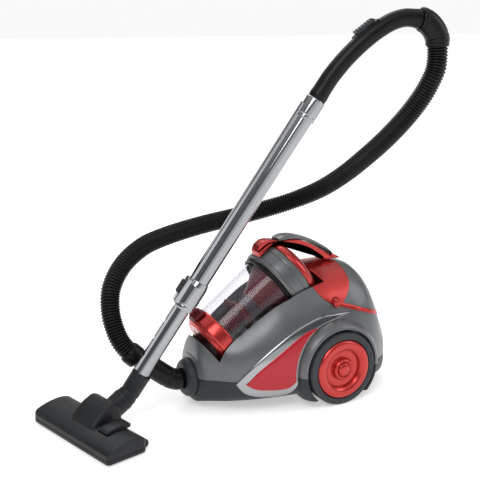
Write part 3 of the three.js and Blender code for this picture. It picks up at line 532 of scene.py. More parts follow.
half_at = through([s[0] for s in STATIONS], [s[1] for s in STATIONS])
crown_at = through([s[0] for s in STATIONS], [s[2] for s in STATIONS])


def section(x, half, crown, offset):
    ring = []
    for i in range(SKIN_SIDES):
        w = 2 * pi * i / SKIN_SIDES
        c, s = cos(w), sin(w)
        power = CROWN_POWER if s >= 0 else BELLY_POWER
        rise = crown + offset - SEAM_Z if s >= 0 else SEAM_Z - BELLY_Z + offset
        y = (half + offset) * copysign(abs(c) ** (2 / power), c)
        ring.append(Vector((x, y, SEAM_Z + rise * copysign(abs(s) ** (2 / power), s))))
    return ring


def skin(name, offset):
    """The closed body shape, grown outwards by offset, with rounded ends."""
    front, rear = STATIONS[0][0], STATIONS[-1][0]
    rings = []
    for k in range(5):
        w = pi / 2 * k / 5
        rings.append(section(front - offset, half_at(front), crown_at(front),
            offset - END_ROUND * (1 - sin(w))))
        rings[-1] = [Vector((front - offset + END_ROUND * (1 - cos(w)) * 0.5, p.y, p.z)) for p in rings[-1]]
    count = 96
    start = front - offset + END_ROUND * 0.5
    for k in range(count + 1):
        x = start + (rear - END_ROUND * 0.5 + offset - start) * k / count
        rings.append(section(x, half_at(x), crown_at(x), offset))
    for k in range(1, 6):
        w = pi / 2 * k / 5
        x = rear - END_ROUND * 0.5 + offset + END_ROUND * 0.5 * sin(w)
        rings.append(section(x, half_at(x), crown_at(x), offset - END_ROUND * (1 - cos(w))))
    return skinned(name, rings)


def skin_y(x, z, offset=0.0):
    """Distance of the skin from the middle plane."""
    if z >= SEAM_Z:
        rise, power = crown_at(x) + offset - SEAM_Z, CROWN_POWER
    else:
        rise, power = SEAM_Z - BELLY_Z + offset, BELLY_POWER
    left = max(0.0, 1 - min(1, abs(z - SEAM_Z) / rise) ** power)
    return (half_at(x) + offset) * left ** (1 / power)


# ---- The cup's own frame: a runs up its axis, r away from it in the middle plane ----------------
CUP_ANGLE = radians(34.6)
CUP_FOOT = Vector((-224, 0, 116))
CUP_AXIS = Vector((cos(CUP_ANGLE), 0, sin(CUP_ANGLE)))
CUP_NORMAL = Vector((-sin(CUP_ANGLE), 0, cos(CUP_ANGLE)))
DOOR_R, DOOR_END, DOOR_ROOM = 60, 7, 12
CUP_R_LOW, CUP_R_HIGH, CUP_WALL = 56, 65.5, 2.4
RING_END, COLLAR_START, COLLAR_END, COLLAR_R, LID_END = 36, 176, 219, 74.5, 243
TROUGH_GAP = 3.5
OUTLET_R = -34
ELBOW_R, SPIGOT_R = 20.5, 17


def on_cup(a, r, y=0.0):
    p = CUP_FOOT + CUP_AXIS * a + CUP_NORMAL * r
    return Vector((p.x, y, p.z))


def cup_slab(name, outline, y0, y1, edge=1.5, corner=0.0):
    return slab(name, outline, y0, y1, edge, corner, to_point=on_cup)


def on_axis(name, profile, round_off=0.0, segments=96, sharp=38):
    return turned(name, profile, CUP_FOOT, CUP_AXIS, round_off, segments, sharp=sharp)


def trough(extra):
    """The space that the cup lies in, open upwards; extra gives the outer face of its wall."""
    low = DOOR_R + 2 + TROUGH_GAP + extra
    high = COLLAR_R + TROUGH_GAP + extra
    start, end = -DOOR_ROOM - extra, LID_END + 4 + extra
    body = on_axis("trough", [[0, start], [low, start], [low, RING_END + 6], [high, COLLAR_START - 10],
        [high, end], [0, end]])
    ends = [(start, low), (RING_END + 6, low), (COLLAR_START - 10, high), (end, high)]
    rings = [[on_cup(a, 0, -y), on_cup(a, 0, y), on_cup(a, 260, y), on_cup(a, 260, -y)] for a, y in ends]
    slot = skinned("trough_slot", rings)
    pocket = cup_slab("lug_pocket", [(-DOOR_ROOM - extra, -40), (26 + extra, -40),
        (26 + extra, -74 - extra), (-DOOR_ROOM - extra, -74 - extra)], -18 - extra, 18 + extra, 0)
    return join(body, slot, pocket)


TYRE_R, TYRE_WIDTH, WHEEL_FACE_Y, RIM_R, ARCH_R = 72.5, 30, 145, 59.6, 77.5
FENDER_R, FENDER_Y, FENDER_FOOT = 94, 139, 16
AXLE_R = 6
CASTER_X = -165
CASTER_POCKET_R = 30
INLET_Z = 57
CORD_Y, CORD_Z = 16, 42
BUTTON_X, BUTTON_Z, BUTTON_R = 5, 196, 9


def wheel_arch(side, extra):
    inner = WHEEL_FACE_Y - TYRE_WIDTH - 7 - extra
    return rod("arch", ARCH_R + extra, (0, side * inner, TYRE_R), (0, side, 0), 0, 80, 128)


def fender(side, low, high):
    """The flare round a wheel, between two heights."""
    lip = spline([(ARCH_R, FENDER_Y - 2.4, 0), (ARCH_R + 1, FENDER_Y - 0.6, 0), (ARCH_R + 3.4, FENDER_Y, 0),
        (ARCH_R + 6.6, FENDER_Y - 1.6, 0), (ARCH_R + 12, FENDER_Y - 9, 0), (FENDER_R, FENDER_Y - 22, 0)], 5)
    outline = [(ARCH_R, 98)] + as_pairs(lip) + [(FENDER_R, 98)]
    ring = turned("fender", outline, (0, 0, TYRE_R), (0, side, 0), 0, 160, sharp=50)
    return common(ring, box("band", -120, 120, -200, 200, low, high))


def caster_pocket(extra):
    return rod("pocket", CASTER_POCKET_R + extra, (CASTER_X, 0, 0), Z, -5, 36 + extra)


def plate(name, outline):
    return slab(name, outline, -220, 220, 0, 0, 1)


def shift(points, dx, dz):
    return [(x + dx, z + dz) for x, z in points]


HOOD_EDGE = [(58, 300), (58, 262), (53, 229), (36, 206), (16, 190)]
HOOD_FOOT = [(60, 177), (114, 158), (190, 146)]
SADDLE_FRONT = [(2, 190), (-22, 208), (-34, 232), (-38, 300)]
hood_edge = curve(HOOD_EDGE)
hood_foot = curve([HOOD_EDGE[-1]] + HOOD_FOOT)[1:]
saddle_front = curve(SADDLE_FRONT)
GRILLE = (84, 130, 34)


def grille_window(extra):
    low, high, half = GRILLE
    return box("window", 120, 190, -half - extra, half + extra, low - extra, high + extra)


def make_casing():
    """The chassis' covers, cut from one hollow skin, as in the CAD source."""
    hollow = cut(skin("hollow", 0), wheel_arch(1, 0), wheel_arch(-1, 0), trough(0), caster_pocket(0))
    core = cut(skin("core", -WALL), wheel_arch(1, WALL), wheel_arch(-1, WALL), trough(WALL),
        caster_pocket(WALL))
    cut(hollow, core, rod("hole", 24, (0, 0, INLET_Z), -X, 225, 290),
        rod("hole", AXLE_R + GAP, (0, 0, TYRE_R), Y, -125, 125),
        rod("hole", 4.06, (CASTER_X, 0, 0), Z, 30, 45),
        rod("hole", 20, on_cup(0, OUTLET_R), CUP_AXIS, LID_END + 1, LID_END + 12),
        rod("hole", 9, (0, CORD_Y, CORD_Z), X, 150, 190), grille_window(0),
        rod("hole", BUTTON_R + GAP, (BUTTON_X, 0, BUTTON_Z), Y, 90, 130),
        rod("hole", BUTTON_R + GAP, (BUTTON_X, 0, BUTTON_Z), -Y, 90, 130),
        rod("hole", 13, on_cup(158, 0), (CUP_NORMAL * -0.72 + Y * 0.69), 52, 88))
    saddle_room = [*hood_edge, *shift(saddle_front, -GAP, -GAP)]
    cover_room = [(190, 301), *shift(list(reversed(hood_foot)), 0, -GAP), (16, 189.5),
        *shift(saddle_front, -GAP, -GAP), (-38, 301)]

    base = common(copy_of(hollow, "base_casing"), box("below", -400, 300, -200, 200, -20, SEAM_Z))
    cut(base, trough(WALL + GAP))
    join(base, rod("post", 8, (78, 0, 0), Z, BELLY_Z + 1, 52),
        *[fender(side, FENDER_FOOT, SEAM_Z) for side in (-1, 1)])
    upper = common(hollow, box("above", -400, 300, -200, 200, SEAM_Z + GAP, 400))
    wall = cut(common(copy_of(upper, "trough_wall"), trough(WALL + 0.01)), plate("room", saddle_room))
    hood = common(copy_of(upper, "motor_cover"), plate("tool", [*hood_edge, *hood_foot, (190, 300)]))
    cut(hood, trough(WALL + GAP))
    saddle = common(copy_of(upper, "rear_saddle"),
        plate("tool", [*shift(hood_edge, -GAP, 0), *saddle_front]))
    shell = cut(upper, plate("room", cover_room))
    shell.name = "upper_casing"
    flares = [cut(fender(side, SEAM_Z + GAP, 200), plate("room", cover_room)) for side in (-1, 1)]
    join(shell, wall, *flares)
    for obj, slot, node in ((base, "charcoal", "base_shell"), (shell, "shell_grey", "upper_shell"),
        (hood, "shell_grey", "motor_hood"), (saddle, "red_metallic", "red_saddle")):
        piece(soften(obj, 0.9), "chassis", slot, node)


make_casing()


# ---- Pieces laid over the skin --------------------------------------------------------------------
def draped(name, side, low, high, lift, rim, columns=120, rows=28):
    """A leaf between two curves in the X-Z plane, laid on the skin, with a raised, rounded rim."""
    low, high = evenly(low, columns), evenly(high, columns)
    base = 0.3
    rings = []
    for a, b in zip(low, high):
        width = max((b - a).length, 1e-3)
        edge = min(rim, width * 0.45)
        ring = []
        for k in range(rows + 1):
            v = 0.5 - 0.5 * cos(pi * k / rows)
            p = a.lerp(b, v)
            rise = min(1, min(v, 1 - v) * width / edge)
            height = base + lift * sqrt(max(0.0, 1 - (1 - rise) ** 2))
            ring.append(Vector((p.x, side * skin_y(p.x, p.y, height), p.y)))
        for k in range(rows, -1, -1):
            v = 0.5 - 0.5 * cos(pi * k / rows)
            p = a.lerp(b, v)
            ring.append(Vector((p.x, side * skin_y(p.x, p.y, -0.6), p.y)))
        rings.append(ring)
    return skinned(name, rings, sharp=50)


def arch_line(radius, start, end, count=24):
    """Part of a circle round the axle, from one angle to another in degrees."""
    return [Vector((radius * cos(radians(start + (end - start) * k / count)), TYRE_R
        + radius * sin(radians(start + (end - start) * k / count)), 0)) for k in range(count + 1)]


def make_side_trim():
    arch = FENDER_R + 1
    for name, side in SIDES.items():
        low = flat_spline([(-208, 62), (-192, 43), (-165, 33), (-125, 31), (-106, 35), (-97, 44)])
        low += arch_line(arch, 193, 112)
        high = flat_spline([(-208, 62), (-186, 88), (-151, 119), (-103, 151), (-66, 168), (-34, 176),
            (2, 177), (34, 176)])
        low += flat_spline([low[-1][:2], (0, 168), (34, 176)])[1:]
        leaf = draped(f"chrome_leaf_{name}", side, low, high, 2.0, 3.5)
        piece(leaf, "chassis", "chrome", f"side_trim_{name}")
        inner_low = flat_spline([(-192, 62), (-180, 53), (-166, 48.5), (-125, 45.5), (-110, 47.5),
            (-101, 54)])
        inner_low += arch_line(arch + 1.5, 188, 120)
        inner_high = flat_spline([(-192, 62), (-168, 88), (-120, 124), (-76, 151.5), (-58, 157),
            inner_low[-1][:2]])
        panel = draped(f"gloss_panel_{name}", side, inner_low, inner_high, 3.6, 6.0)
        piece(panel, "chassis", "red_gloss", f"side_panel_{name}")


make_side_trim()


def make_band():
    """The red band that runs from one button round the back to the other."""
    top = flat_spline([(15, 196), (60, 181), (114, 162), (156, 153)], 12)
    bottom = flat_spline([(15, 187), (60, 172), (114, 153), (156, 145)], 12)
    columns, rows = 70, 10
    top, bottom = evenly(top, columns), evenly(bottom, columns)
    half = []
    for a, b in zip(bottom, top):
        ring = []
        for k in range(rows + 1):
            v = k / rows
            p = a.lerp(b, v)
            height = 0.3 + 1.5 * sqrt(max(0.0, 1 - abs(2 * v - 1) ** 4))
            ring.append((p.x, p.y, height))
        for k in range(rows, -1, -1):
            p = a.lerp(b, k / rows)
            ring.append((p.x, p.y, -0.5))
        half.append(ring)

    def place(ring, side):
        out = []
        for x, z, height in ring:
            reach = crown_at(x) + height
            y = skin_y(x, min(z, reach - 0.01), height)
            out.append(Vector((x, side * y, z)))
        return out

    for name, side in SIDES.items():
        usable = [r for r in half if crown_at(r[-1][0]) > max(p[1] for p in r) + 1.5]
        band = skinned(f"red_band_{name}", [place(r, side) for r in usable], sharp=50)
        piece(band, "chassis", "red_metallic", "red_band" if side < 0 else ())


make_band()


def make_grille():
    low, high, half = GRILLE
    grille = common(cut(skin("exhaust_vent", 0), skin("core", -WALL)), grille_window(-GAP))
    cut(grille, *[box("slot", 120, 190, -half + 7, half - 7, low + 4.5 + 6.6 * i, low + 8 + 6.6 * i)
        for i in range(6)])
    piece(soften(grille, 0.6), "chassis", "charcoal", "exhaust_grille")


make_grille()


# ---- Small chassis pieces ---------------------------------------------------------------------
def make_chassis_parts():
    collar = turned("inlet_boss", [[20, 246], [23.6, 246], [23.6, 262.4], [38, 262.4], [38, 267],
        [36.4, 272], [33, 276.5], [29, 279], [20, 279]], (0, 0, INLET_Z), -X, 1.6, 128)
    piece(collar, "chassis", "charcoal", "inlet_collar")
    gland = turned("cord_gland",
        [[4, 158], [8.6, 158], [8.6, 165.4], [13, 165.4], [12, 169], [6, 169], [4, 167]],
        (0, CORD_Y, CORD_Z), X, 0.8)
    piece(gland, "chassis", "black_gloss", "cord_outlet")
    for (name, side), node in zip(SIDES.items(), ("power_button", "rewind_button")):
        knob = turned(f"{node}_cap", [[0, 94], [BUTTON_R, 94], [BUTTON_R, 108], [BUTTON_R - 1.2, 111],
            [BUTTON_R - 2.2, 111.6], [BUTTON_R - 3.2, 110.6], [BUTTON_R - 4.4, 111.2], [3, 112.4],
            [0, 112.8]], (BUTTON_X, 0, BUTTON_Z), (0, side, 0), 0.7)
        piece(knob, node, "red_metallic", node)


make_chassis_parts()


# ---- Wheels -----------------------------------------------------------------------------------
def make_wheels():
    wheel_in = WHEEL_FACE_Y - TYRE_WIDTH
    for name, side in SIDES.items():
        foot, way, body = (0, side * wheel_in, TYRE_R), (0, side, 0), f"wheel_{name}"
        tread = []
        for k in range(9):
            a = 4 + 21 * k / 8
            tread.append([TYRE_R, a - 0.5])
            if 0 < k < 8 and k % 2 == 0:
                tread += [[TYRE_R, a - 0.4], [TYRE_R - 0.9, a], [TYRE_R, a + 0.4]]
        tyre = turned(f"tyre_ring_{name}", [[RIM_R + 0.2, 2], [66, 0.2], [70.5, 1.2], [TYRE_R, 3.4],
            *tread[1:], [TYRE_R, 25.5], [71.2, 28], [68.5, 29.6], [66.4, 29.9], [65.8, 29.1], [65.2, 29.9],
            [62.5, 29.6], [RIM_R + 0.2, 28.4]], foot, way, 0.5, 160)
        piece(tyre, body, "tyre", f"tyre_{name}")
        face = spline([(RIM_R, 24.6, 0), (RIM_R - 1.6, 28.4, 0), (55, 31.4, 0), (49, 32.4, 0), (43, 31, 0),
            (38.8, 27.4, 0)], 6)
        disc = spline([(37, 22.6, 0), (33, 23.4, 0), (28, 23.2, 0), (23.6, 22.6, 0)], 4)
        ring = spline([(22.2, 24.5, 0), (21, 28.4, 0), (18.5, 30.8, 0), (16, 30.2, 0), (14.4, 28.4, 0)], 5)
        dome = spline([(13.2, 28.2, 0), (12.4, 31, 0), (8.5, 33.5, 0), (4, 34.3, 0), (0, 34.4, 0)], 5)
        outline = [(0, 3), (RIM_R - 1, 3), (RIM_R, 4)] + as_pairs(face + disc + ring + dome)
        rim = turned(f"wheel_disc_{name}", outline, foot, way, 0, 160, sharp=45)
        piece(rim, body, "red_metallic", f"rim_{name}")


make_wheels()


def make_caster():
    wheel_x, radius = CASTER_X + 12, 14
    fork = join(box("caster_fork_body", CASTER_X - 10, wheel_x + 6, -12, 12, 9, 33, 2.5),
        rod("stem", 4, (CASTER_X, 0, 0), Z, 32, 46))
    cut(fork, box("slot", CASTER_X - 14, wheel_x + 12, -9, 9, 0, 29.5))
    join(fork, rod("pin", 2, (wheel_x, 0, radius), Y, -11.5, 11.5))
    piece(soften(fork, 0.5), "caster_fork", "charcoal", "caster_fork")
    wheel = turned("caster_roller",
        [[2.06, -8], [12.6, -8], [radius, -6], [radius, 6], [12.6, 8], [2.06, 8]], (wheel_x, 0, radius), Y,
        1.2)
    piece(wheel, "caster_wheel", "tyre", "caster_wheel")


make_caster()


# ---- Dust cup ---------------------------------------------------------------------------------
def tube_at(a):
    return CUP_R_LOW + (CUP_R_HIGH - CUP_R_LOW) * (a - DOOR_END) / (COLLAR_START - DOOR_END)


HINGE_A, HINGE_R = 12, -(DOOR_R + 7)


def make_cup_body():
    tube = on_axis("cup_shell", [[tube_at(14) - CUP_WALL, 14], [tube_at(14), 14],
        [CUP_R_HIGH, COLLAR_START], [CUP_R_HIGH, 188], [CUP_R_HIGH - CUP_WALL, 188],
        [CUP_R_HIGH - CUP_WALL, COLLAR_START]], 0.5, 160)
    piece(tube, "cup_tank", "clear", "cup_tube")
    ring = on_axis("front_ring", [[52, 7.4], [DOOR_R, 7.4], [DOOR_R + 2, 11], [DOOR_R + 2, 33],
        [DOOR_R + 0.6, RING_END], [tube_at(36) + GAP, RING_END], [tube_at(14) + GAP, 13.5], [52, 13.5]],
        1.2, 160)
    lugs = [cup_slab("lug", [(8, -59), (20, -59), (16, HINGE_R - 3.6), (8, HINGE_R - 3.6)], y0, y1, 0.8,
        1.5) for y0, y1 in ((-14, -8), (8, 14))]
    join(ring, *lugs, rod("pin", 2.1, on_cup(HINGE_A, HINGE_R), Y, -13, 13))
    smooth(ring)
    piece(ring, "cup_tank", "red_metallic", "cup_ring")
    seal = on_axis("collar_seal_rings", [[CUP_R_HIGH + GAP, 168], [70, 168], [71, 169.2], [70, 170.6],
        [70, 172], [71, 173.4], [70, 175], [CUP_R_HIGH + GAP, 175]], 0.5, 160)
    piece(seal, "cup_tank", "black_gloss", "collar_seal")
    collar = on_axis("collar_band", [[CUP_R_HIGH + GAP, COLLAR_START], [COLLAR_R - 2.5, COLLAR_START],
        [COLLAR_R, 180], [COLLAR_R, 184], [COLLAR_R - 0.9, 184.7], [COLLAR_R, 185.4], [COLLAR_R, 205],
        [COLLAR_R - 0.9, 205.7], [COLLAR_R, 206.4], [COLLAR_R, 211], [COLLAR_R - 0.8, 216],
        [COLLAR_R - 3.4, COLLAR_END], [CUP_R_HIGH + GAP, COLLAR_END]], 0.3, 160)
    piece(collar, "cup_tank", "shell_grey", "cup_collar")


make_cup_body()


def make_lid():
    """The red rim that closes the cup, with its shallow crown."""
    outlet = rod("hole", 19, on_cup(0, OUTLET_R), CUP_AXIS, 215, 260)
    lid = on_axis("lid_rim", [[0, 240], [38, 239], [57, 230], [64, COLLAR_END + GAP],
        [COLLAR_R - 3, COLLAR_END + GAP], [71.9, 222], [71, 226], [69, 230], [66, 233.5], [61.4, 236.8],
        [56, 239], [48, 241.4], [40, 242.8], [0, LID_END]], 1.2, 160)
    piece(cut(lid, outlet), "cup_tank", "red_metallic", "cup_lid")
    smooth(lid)


make_lid()


def make_cyclone():
    cone = on_axis("cyclone_funnel", [[24, 122], [26.4, 122], [34, 140], [46, 160], [55, 180], [55, 186],
        [52.4, 186], [52.4, 181], [44, 162], [32, 141]], 1.0, 128)
    piece(cone, "cup_tank", "dark_red", "cyclone_cone")
    screen = on_axis("cyclone_mesh", [[22, 101], [25, 101], [25, 121.5], [22, 121.5]], 0.3, 128)
    piece(screen, "cup_tank", "foam", "cyclone_screen", SCREEN)
    core = on_axis("cyclone_skirt", [[13, 20], [16, 20], [19, 60], [19, 88], [30, 87], [42, 84],
        [42.8, 85.2], [42.4, 86.4], [31, 92], [25, 100.5], [13, 100.5]], 0.8, 128)
    piece(core, "cup_tank", "dark_red", "cyclone_core")
    pleats, steps = 30, 6
    ring = []
    for i in range(pleats * steps):
        w = 2 * pi * i / (pleats * steps)
        ring.append((w, 43 + 4.6 * cos(w * pleats)))
    across, up, third = axes_for(CUP_AXIS)
    outer = [[on_cup(0, 0) + up * a + (across * cos(w) + third * sin(w)) * r for w, r in ring]
        for a in (190.5, 196, 203, 210, 215.5)]
    inner = [[on_cup(0, 0) + up * a + (across * cos(w) + third * sin(w)) * 30.5 for w, _ in ring]
        for a in (215.5, 190.5)]
    pleated = skinned("pleated_filter", outer + inner, caps=False, loop=True, sharp=60)
    piece(pleated, "cup_tank", "foam", "cup_filter")


make_cyclone()


def make_cup_handle():
    rear, foot = on_cup(183, COLLAR_R + GAP), on_cup(COLLAR_END - 6, COLLAR_R + GAP)
    over_lid = [on_cup(a, r) for a, r in ((236.5, 66.5), (228, 72.6), (COLLAR_END + 1, COLLAR_R + 1.2))]
    top = curve([(-96, 304.5), (-76, 307), (-44, 308.4), (-18, 303.4), (14, 287.9), (44, 268.6), (52, 262)])
    under = curve([(32, 256.3), (28, 263), (12, 275), (-8, 287), (-34, 297), (-50, 299.5)])
    outline = [(rear.x, rear.z), (rear.x - 2, rear.z + 9), *top, (50, 256.3), *under,
        *[(p.x, p.z) for p in over_lid], (foot.x, foot.z)]
    arch = slab("handle_bridge", outline, -17, 17, 3.4, steps=5)
    piece(arch, "cup_tank", "red_metallic", "handle_arch")
    crest = curve([(46, 269.2), (55, 268), (50, 275), (20, 295), (-6, 308), (-34, 316), (-58, 317),
        (-72, 313)], 5)
    belly = curve([(-72, 308), (-44, 309), (-17.5, 304), (15, 288.6), (46, 269.2)], 5)
    grip = slab("handle_cover", belly[:-1] + crest, -15, 15, 2.6, steps=5)
    piece(grip, "cup_tank", "shell_grey", "handle_grip")
    release = slab("release_lever", [(53, 262.4), (53, 267), (58, 266.6), (74, 258), (74, 256), (54, 257)],
        -13, 13, 1.2, 1.0)
    piece(release, "cup_release", "red_metallic", "cup_release")
    clip = slab("lid_catch", [(rear.x - 4, rear.z + 10), (-115, 303), (-105, 310.5), (-92, 312), (-76, 310),
        (-76, 308), (-97, 306)], -12, 12, 0.9, 1.0)
    piece(clip, "lid_clip", "red_metallic", "lid_clip")


make_cup_handle()


def make_door():
    body = cup_slab("latch_block", [(4, DOOR_R + 3), (9, DOOR_R + 9), (24, DOOR_R + 11), (32, DOOR_R + 8),
        (32, DOOR_R + 2.5), (9, DOOR_R + 2.5)], -14, 14, 1.2, 1.2)
    grooves = [cup_slab("groove", [(6 + 4.5 * i, DOOR_R + 7), (8 + 4.5 * i, DOOR_R + 7),
        (8 + 4.5 * i, DOOR_R + 16), (6 + 4.5 * i, DOOR_R + 16)], -11, 11, 0) for i in range(1, 5)]
    cut(body, *grooves)
    smooth(body)
    piece(body, "door_latch", "dark_red", "door_latch")
    door = on_axis("door_plate", [[0, 1.4], [36, 1.4], [38, 0.2], [DOOR_R - 7, 0], [DOOR_R - 1, 5],
        [DOOR_R - 1, DOOR_END], [0, DOOR_END]], 1.2, 160)
    lug = cup_slab("lug", [(1, -57), (6.6, -58), (6.6, HINGE_R + 4), (HINGE_A + 3.4, HINGE_R + 4),
        (HINGE_A + 3.4, HINGE_R - 3.4), (HINGE_A - 4, HINGE_R - 3.4), (1, HINGE_R + 3)], -7.6, 7.6, 0.5)
    join(door, lug)
    cut(door, rod("hole", 2.16, on_cup(HINGE_A, HINGE_R), Y, -15, 15))
    smooth(door)
    piece(door, "cup_door", "red_metallic", "cup_door")


make_door()


# ---- Hose ends --------------------------------------------------------------------------------
def make_hose_ends():
    path = spline([(-281, 0, 57), (-288, 0, 57), (-302, 2, 62), (-319, 6.5, 74), (-340, 13, 91),
        (-358, 19, 104)], 10)

    def radius(t):
        grooves = sum(exp(-((t - place) / 0.014) ** 2) for place in (0.30, 0.74))
        rounding = exp(-(t / 0.03) ** 2) + exp(-((1 - t) / 0.03) ** 2)
        return ELBOW_R - 1.0 * grooves - 1.2 * rounding

    elbow = swept("inlet_elbow", evenly(path, 120), radius, 64)
    join(elbow, rod("spigot", SPIGOT_R, (0, 0, INLET_Z), -X, 250, 283))
    cut(elbow, swept("bore", evenly(path, 60), 14.4, 40),
        rod("bore", 14.4, (0, 0, INLET_Z), -X, 249, 281.5))
    smooth(elbow, 35)
    piece(elbow, "hose_set", "black_gloss", "hose_elbow")


make_hose_ends()


# ---- Wand's own frame: along it, off it on the notched side, and across ------------------------
WAND_FOOT = Vector((-372.9, -29.8, 96.6))
WAND_TOP = Vector((-58.9, -116.5, 591.3))
WAND = (WAND_TOP - WAND_FOOT).normalized()
FORE = Vector((WAND.x, WAND.y, 0)).normalized()
SIDE = Z.cross(FORE)
BACK = -SIDE.cross(WAND)
ACROSS = BACK.cross(WAND)
TUBE_LOW_R, TUBE_HIGH_R, TUBE_WALL, GRIP_R = 13.6, 15.8, 1.2, 16.3
RAIL, RAIL_TOP, CHANNEL, CHANNEL_TOP = 9.6, 18.4, 13.4, 20.4
SLEEVE_LOW, SLEEVE_TOP, SLEEVE_R, TUBE_TOP, TUBE_START = 551, 592, 18.2, 575, 160
GRIP_BORE, SWIVEL_R = 13, 22
SWIVEL_S, SWIVEL_Z = 518, 730.5
SWIVEL_WAY = (FORE * 0.985 - Z * 0.17).normalized()


def in_plane(s, z):
    p = WAND_FOOT + FORE * s
    return Vector((p.x, p.y, z))


def along_end(d):
    return in_plane(SWIVEL_S, SWIVEL_Z) + SWIVEL_WAY * d


def wand_rod(name, radius, start, end):
    return rod(name, radius, WAND_FOOT, WAND, start, end)


def wand_bar(name, width, low, high, start, end, edge=0.0):
    """A bar along the wand, its section between low and high off the axis."""
    outline = [(-width / 2, low), (width / 2, low), (width / 2, high), (-width / 2, high)]
    return slab(name, outline, start, end, edge, edge, to_point=lambda u, v, a: WAND_FOOT + ACROSS * u
        + BACK * v + WAND * a, steps=4 if edge else 1)


def keyhole(radius, width, top, segments=72):
    """A round tube's section with a rail on one side."""
    half = width / 2
    start = asin(half / radius)
    arc = [(radius * sin(start + (2 * pi - 2 * start) * i / segments),
        radius * cos(start + (2 * pi - 2 * start) * i / segments)) for i in range(segments + 1)]
    corner = 1.6
    rail = []
    for k in range(6):
        w = pi / 2 * k / 5
        rail.append((-half + corner * (1 - cos(w)), top - corner * (1 - sin(w))))
    return arc + rail + [(-x, y) for x, y in reversed(rail)]


def wand_tube(name, outer, inner, start, end):
    """A drawn tube with a keyhole section."""
    def ring(section, a):
        return [WAND_FOOT + ACROSS * u + BACK * v + WAND * a for u, v in section]
    rings = [ring(outer, start), ring(outer, end), ring(inner, end), ring(inner, start)]
    return skinned(name, rings, caps=False, loop=True, sharp=50)


def make_wand():
    upper = wand_tube("wand_upper_tube", keyhole(TUBE_HIGH_R, CHANNEL, CHANNEL_TOP),
        keyhole(TUBE_HIGH_R - TUBE_WALL, CHANNEL - 2 * TUBE_WALL, CHANNEL_TOP - TUBE_WALL), TUBE_START,
        TUBE_TOP)
    join(upper, turned("wand_socket", [[0, SLEEVE_LOW], [17.6, SLEEVE_LOW], [SLEEVE_R, SLEEVE_LOW + 2],
        [SLEEVE_R, SLEEVE_LOW + 7], [17.4, SLEEVE_LOW + 8], [SLEEVE_R, SLEEVE_LOW + 9],
        [SLEEVE_R, SLEEVE_TOP - 2], [17.4, SLEEVE_TOP], [0, SLEEVE_TOP]], WAND_FOOT, WAND, 0.5, 96))
    cut(upper, wand_rod("bore", TUBE_HIGH_R - TUBE_WALL, SLEEVE_LOW - 6, TUBE_TOP + 1), wand_bar("bore",
        CHANNEL - 2 * TUBE_WALL, 0, CHANNEL_TOP - TUBE_WALL, SLEEVE_LOW - 6, TUBE_TOP + 1),
        wand_rod("bore", GRIP_BORE, TUBE_TOP, SLEEVE_TOP + 1))
    smooth(upper, 40)
    piece(upper, "handle", "chrome", "upper_tube")
    low_end = TUBE_START + 30 + 250
    lower = wand_tube("wand_lower_tube", keyhole(TUBE_LOW_R, RAIL, RAIL_TOP),
        keyhole(TUBE_LOW_R - TUBE_WALL, RAIL - 2 * TUBE_WALL, TUBE_LOW_R + 1.4), -36, low_end)
    notches = [wand_bar("notch", 12, RAIL_TOP - 1.6, 24, 30 + 36 * i, 38 + 36 * i) for i in range(11)]
    cut(lower, *notches, wand_bar("end", 20, TUBE_LOW_R + 0.2, 24, -40, 2))
    smooth(lower, 50)
    piece(lower, "lower_tube", "chrome", "lower_tube")

    low, top = 142.5, 202
    sleeve = turned("lock_collar", [[TUBE_LOW_R + GAP, low], [18.6, low], [19.4, 146], [19.4, 150],
        [18.9, 152], [19.3, 155], [19.3, 192], [17.6, top - 2], [17.0, top], [TUBE_HIGH_R + GAP, top],
        [TUBE_HIGH_R + GAP, TUBE_START - GAP], [TUBE_LOW_R + GAP, TUBE_START - GAP]], WAND_FOOT, WAND, 0.8,
        96)
    join(sleeve, wand_bar("housing", 20, 10, 26, 147, 200, 3.0))
    cut(sleeve, wand_bar("room", RAIL + 2 * GAP, 0, RAIL_TOP + GAP, low - 1, TUBE_START), wand_bar("room",
        CHANNEL + 2 * GAP, 0, CHANNEL_TOP + GAP, TUBE_START - GAP, top + 1),
        wand_bar("room", 13, 21.6, 30, 164, 192), wand_rod("bore", TUBE_LOW_R + GAP, low - 1, TUBE_START),
        wand_rod("bore", TUBE_HIGH_R + GAP, TUBE_START - GAP, top + 1))
    smooth(sleeve)
    piece(sleeve, "handle", "chrome", "lock_sleeve")
    button = wand_bar("lock_key", 12, 24, 31, 165, 191, 1.6)
    ridges = [wand_bar("ridge", 14, 30.2, 34, 168.5 + 4 * i, 170 + 4 * i) for i in range(5)]
    cut(button, *ridges)
    smooth(button)
    piece(button, "lock_button", "charcoal", "lock_button")


make_wand()

SLIDER_MID = in_plane(424, 701.5)
SLIDER_WAY = (FORE * 0.80 + Z * 0.60).normalized()
SLIDER_UP = -SIDE.cross(SLIDER_WAY)
SLIDER_ACROSS = SLIDER_UP.cross(SLIDER_WAY)


def slider_block(name, length, width, low, high, edge=0.0, at=0.0):
    """A block on the handle's crest: length along the slide, low and high off the handle's axis."""
    outline = [(-length / 2 + at, low), (length / 2 + at, low), (length / 2 + at, high),
        (-length / 2 + at, high)]
    return slab(name, outline, -width / 2, width / 2, edge, edge, steps=4 if edge else 1, to_point=lambda u,
        v, y: SLIDER_MID + SLIDER_WAY * u + SLIDER_UP * v + SLIDER_ACROSS * y)


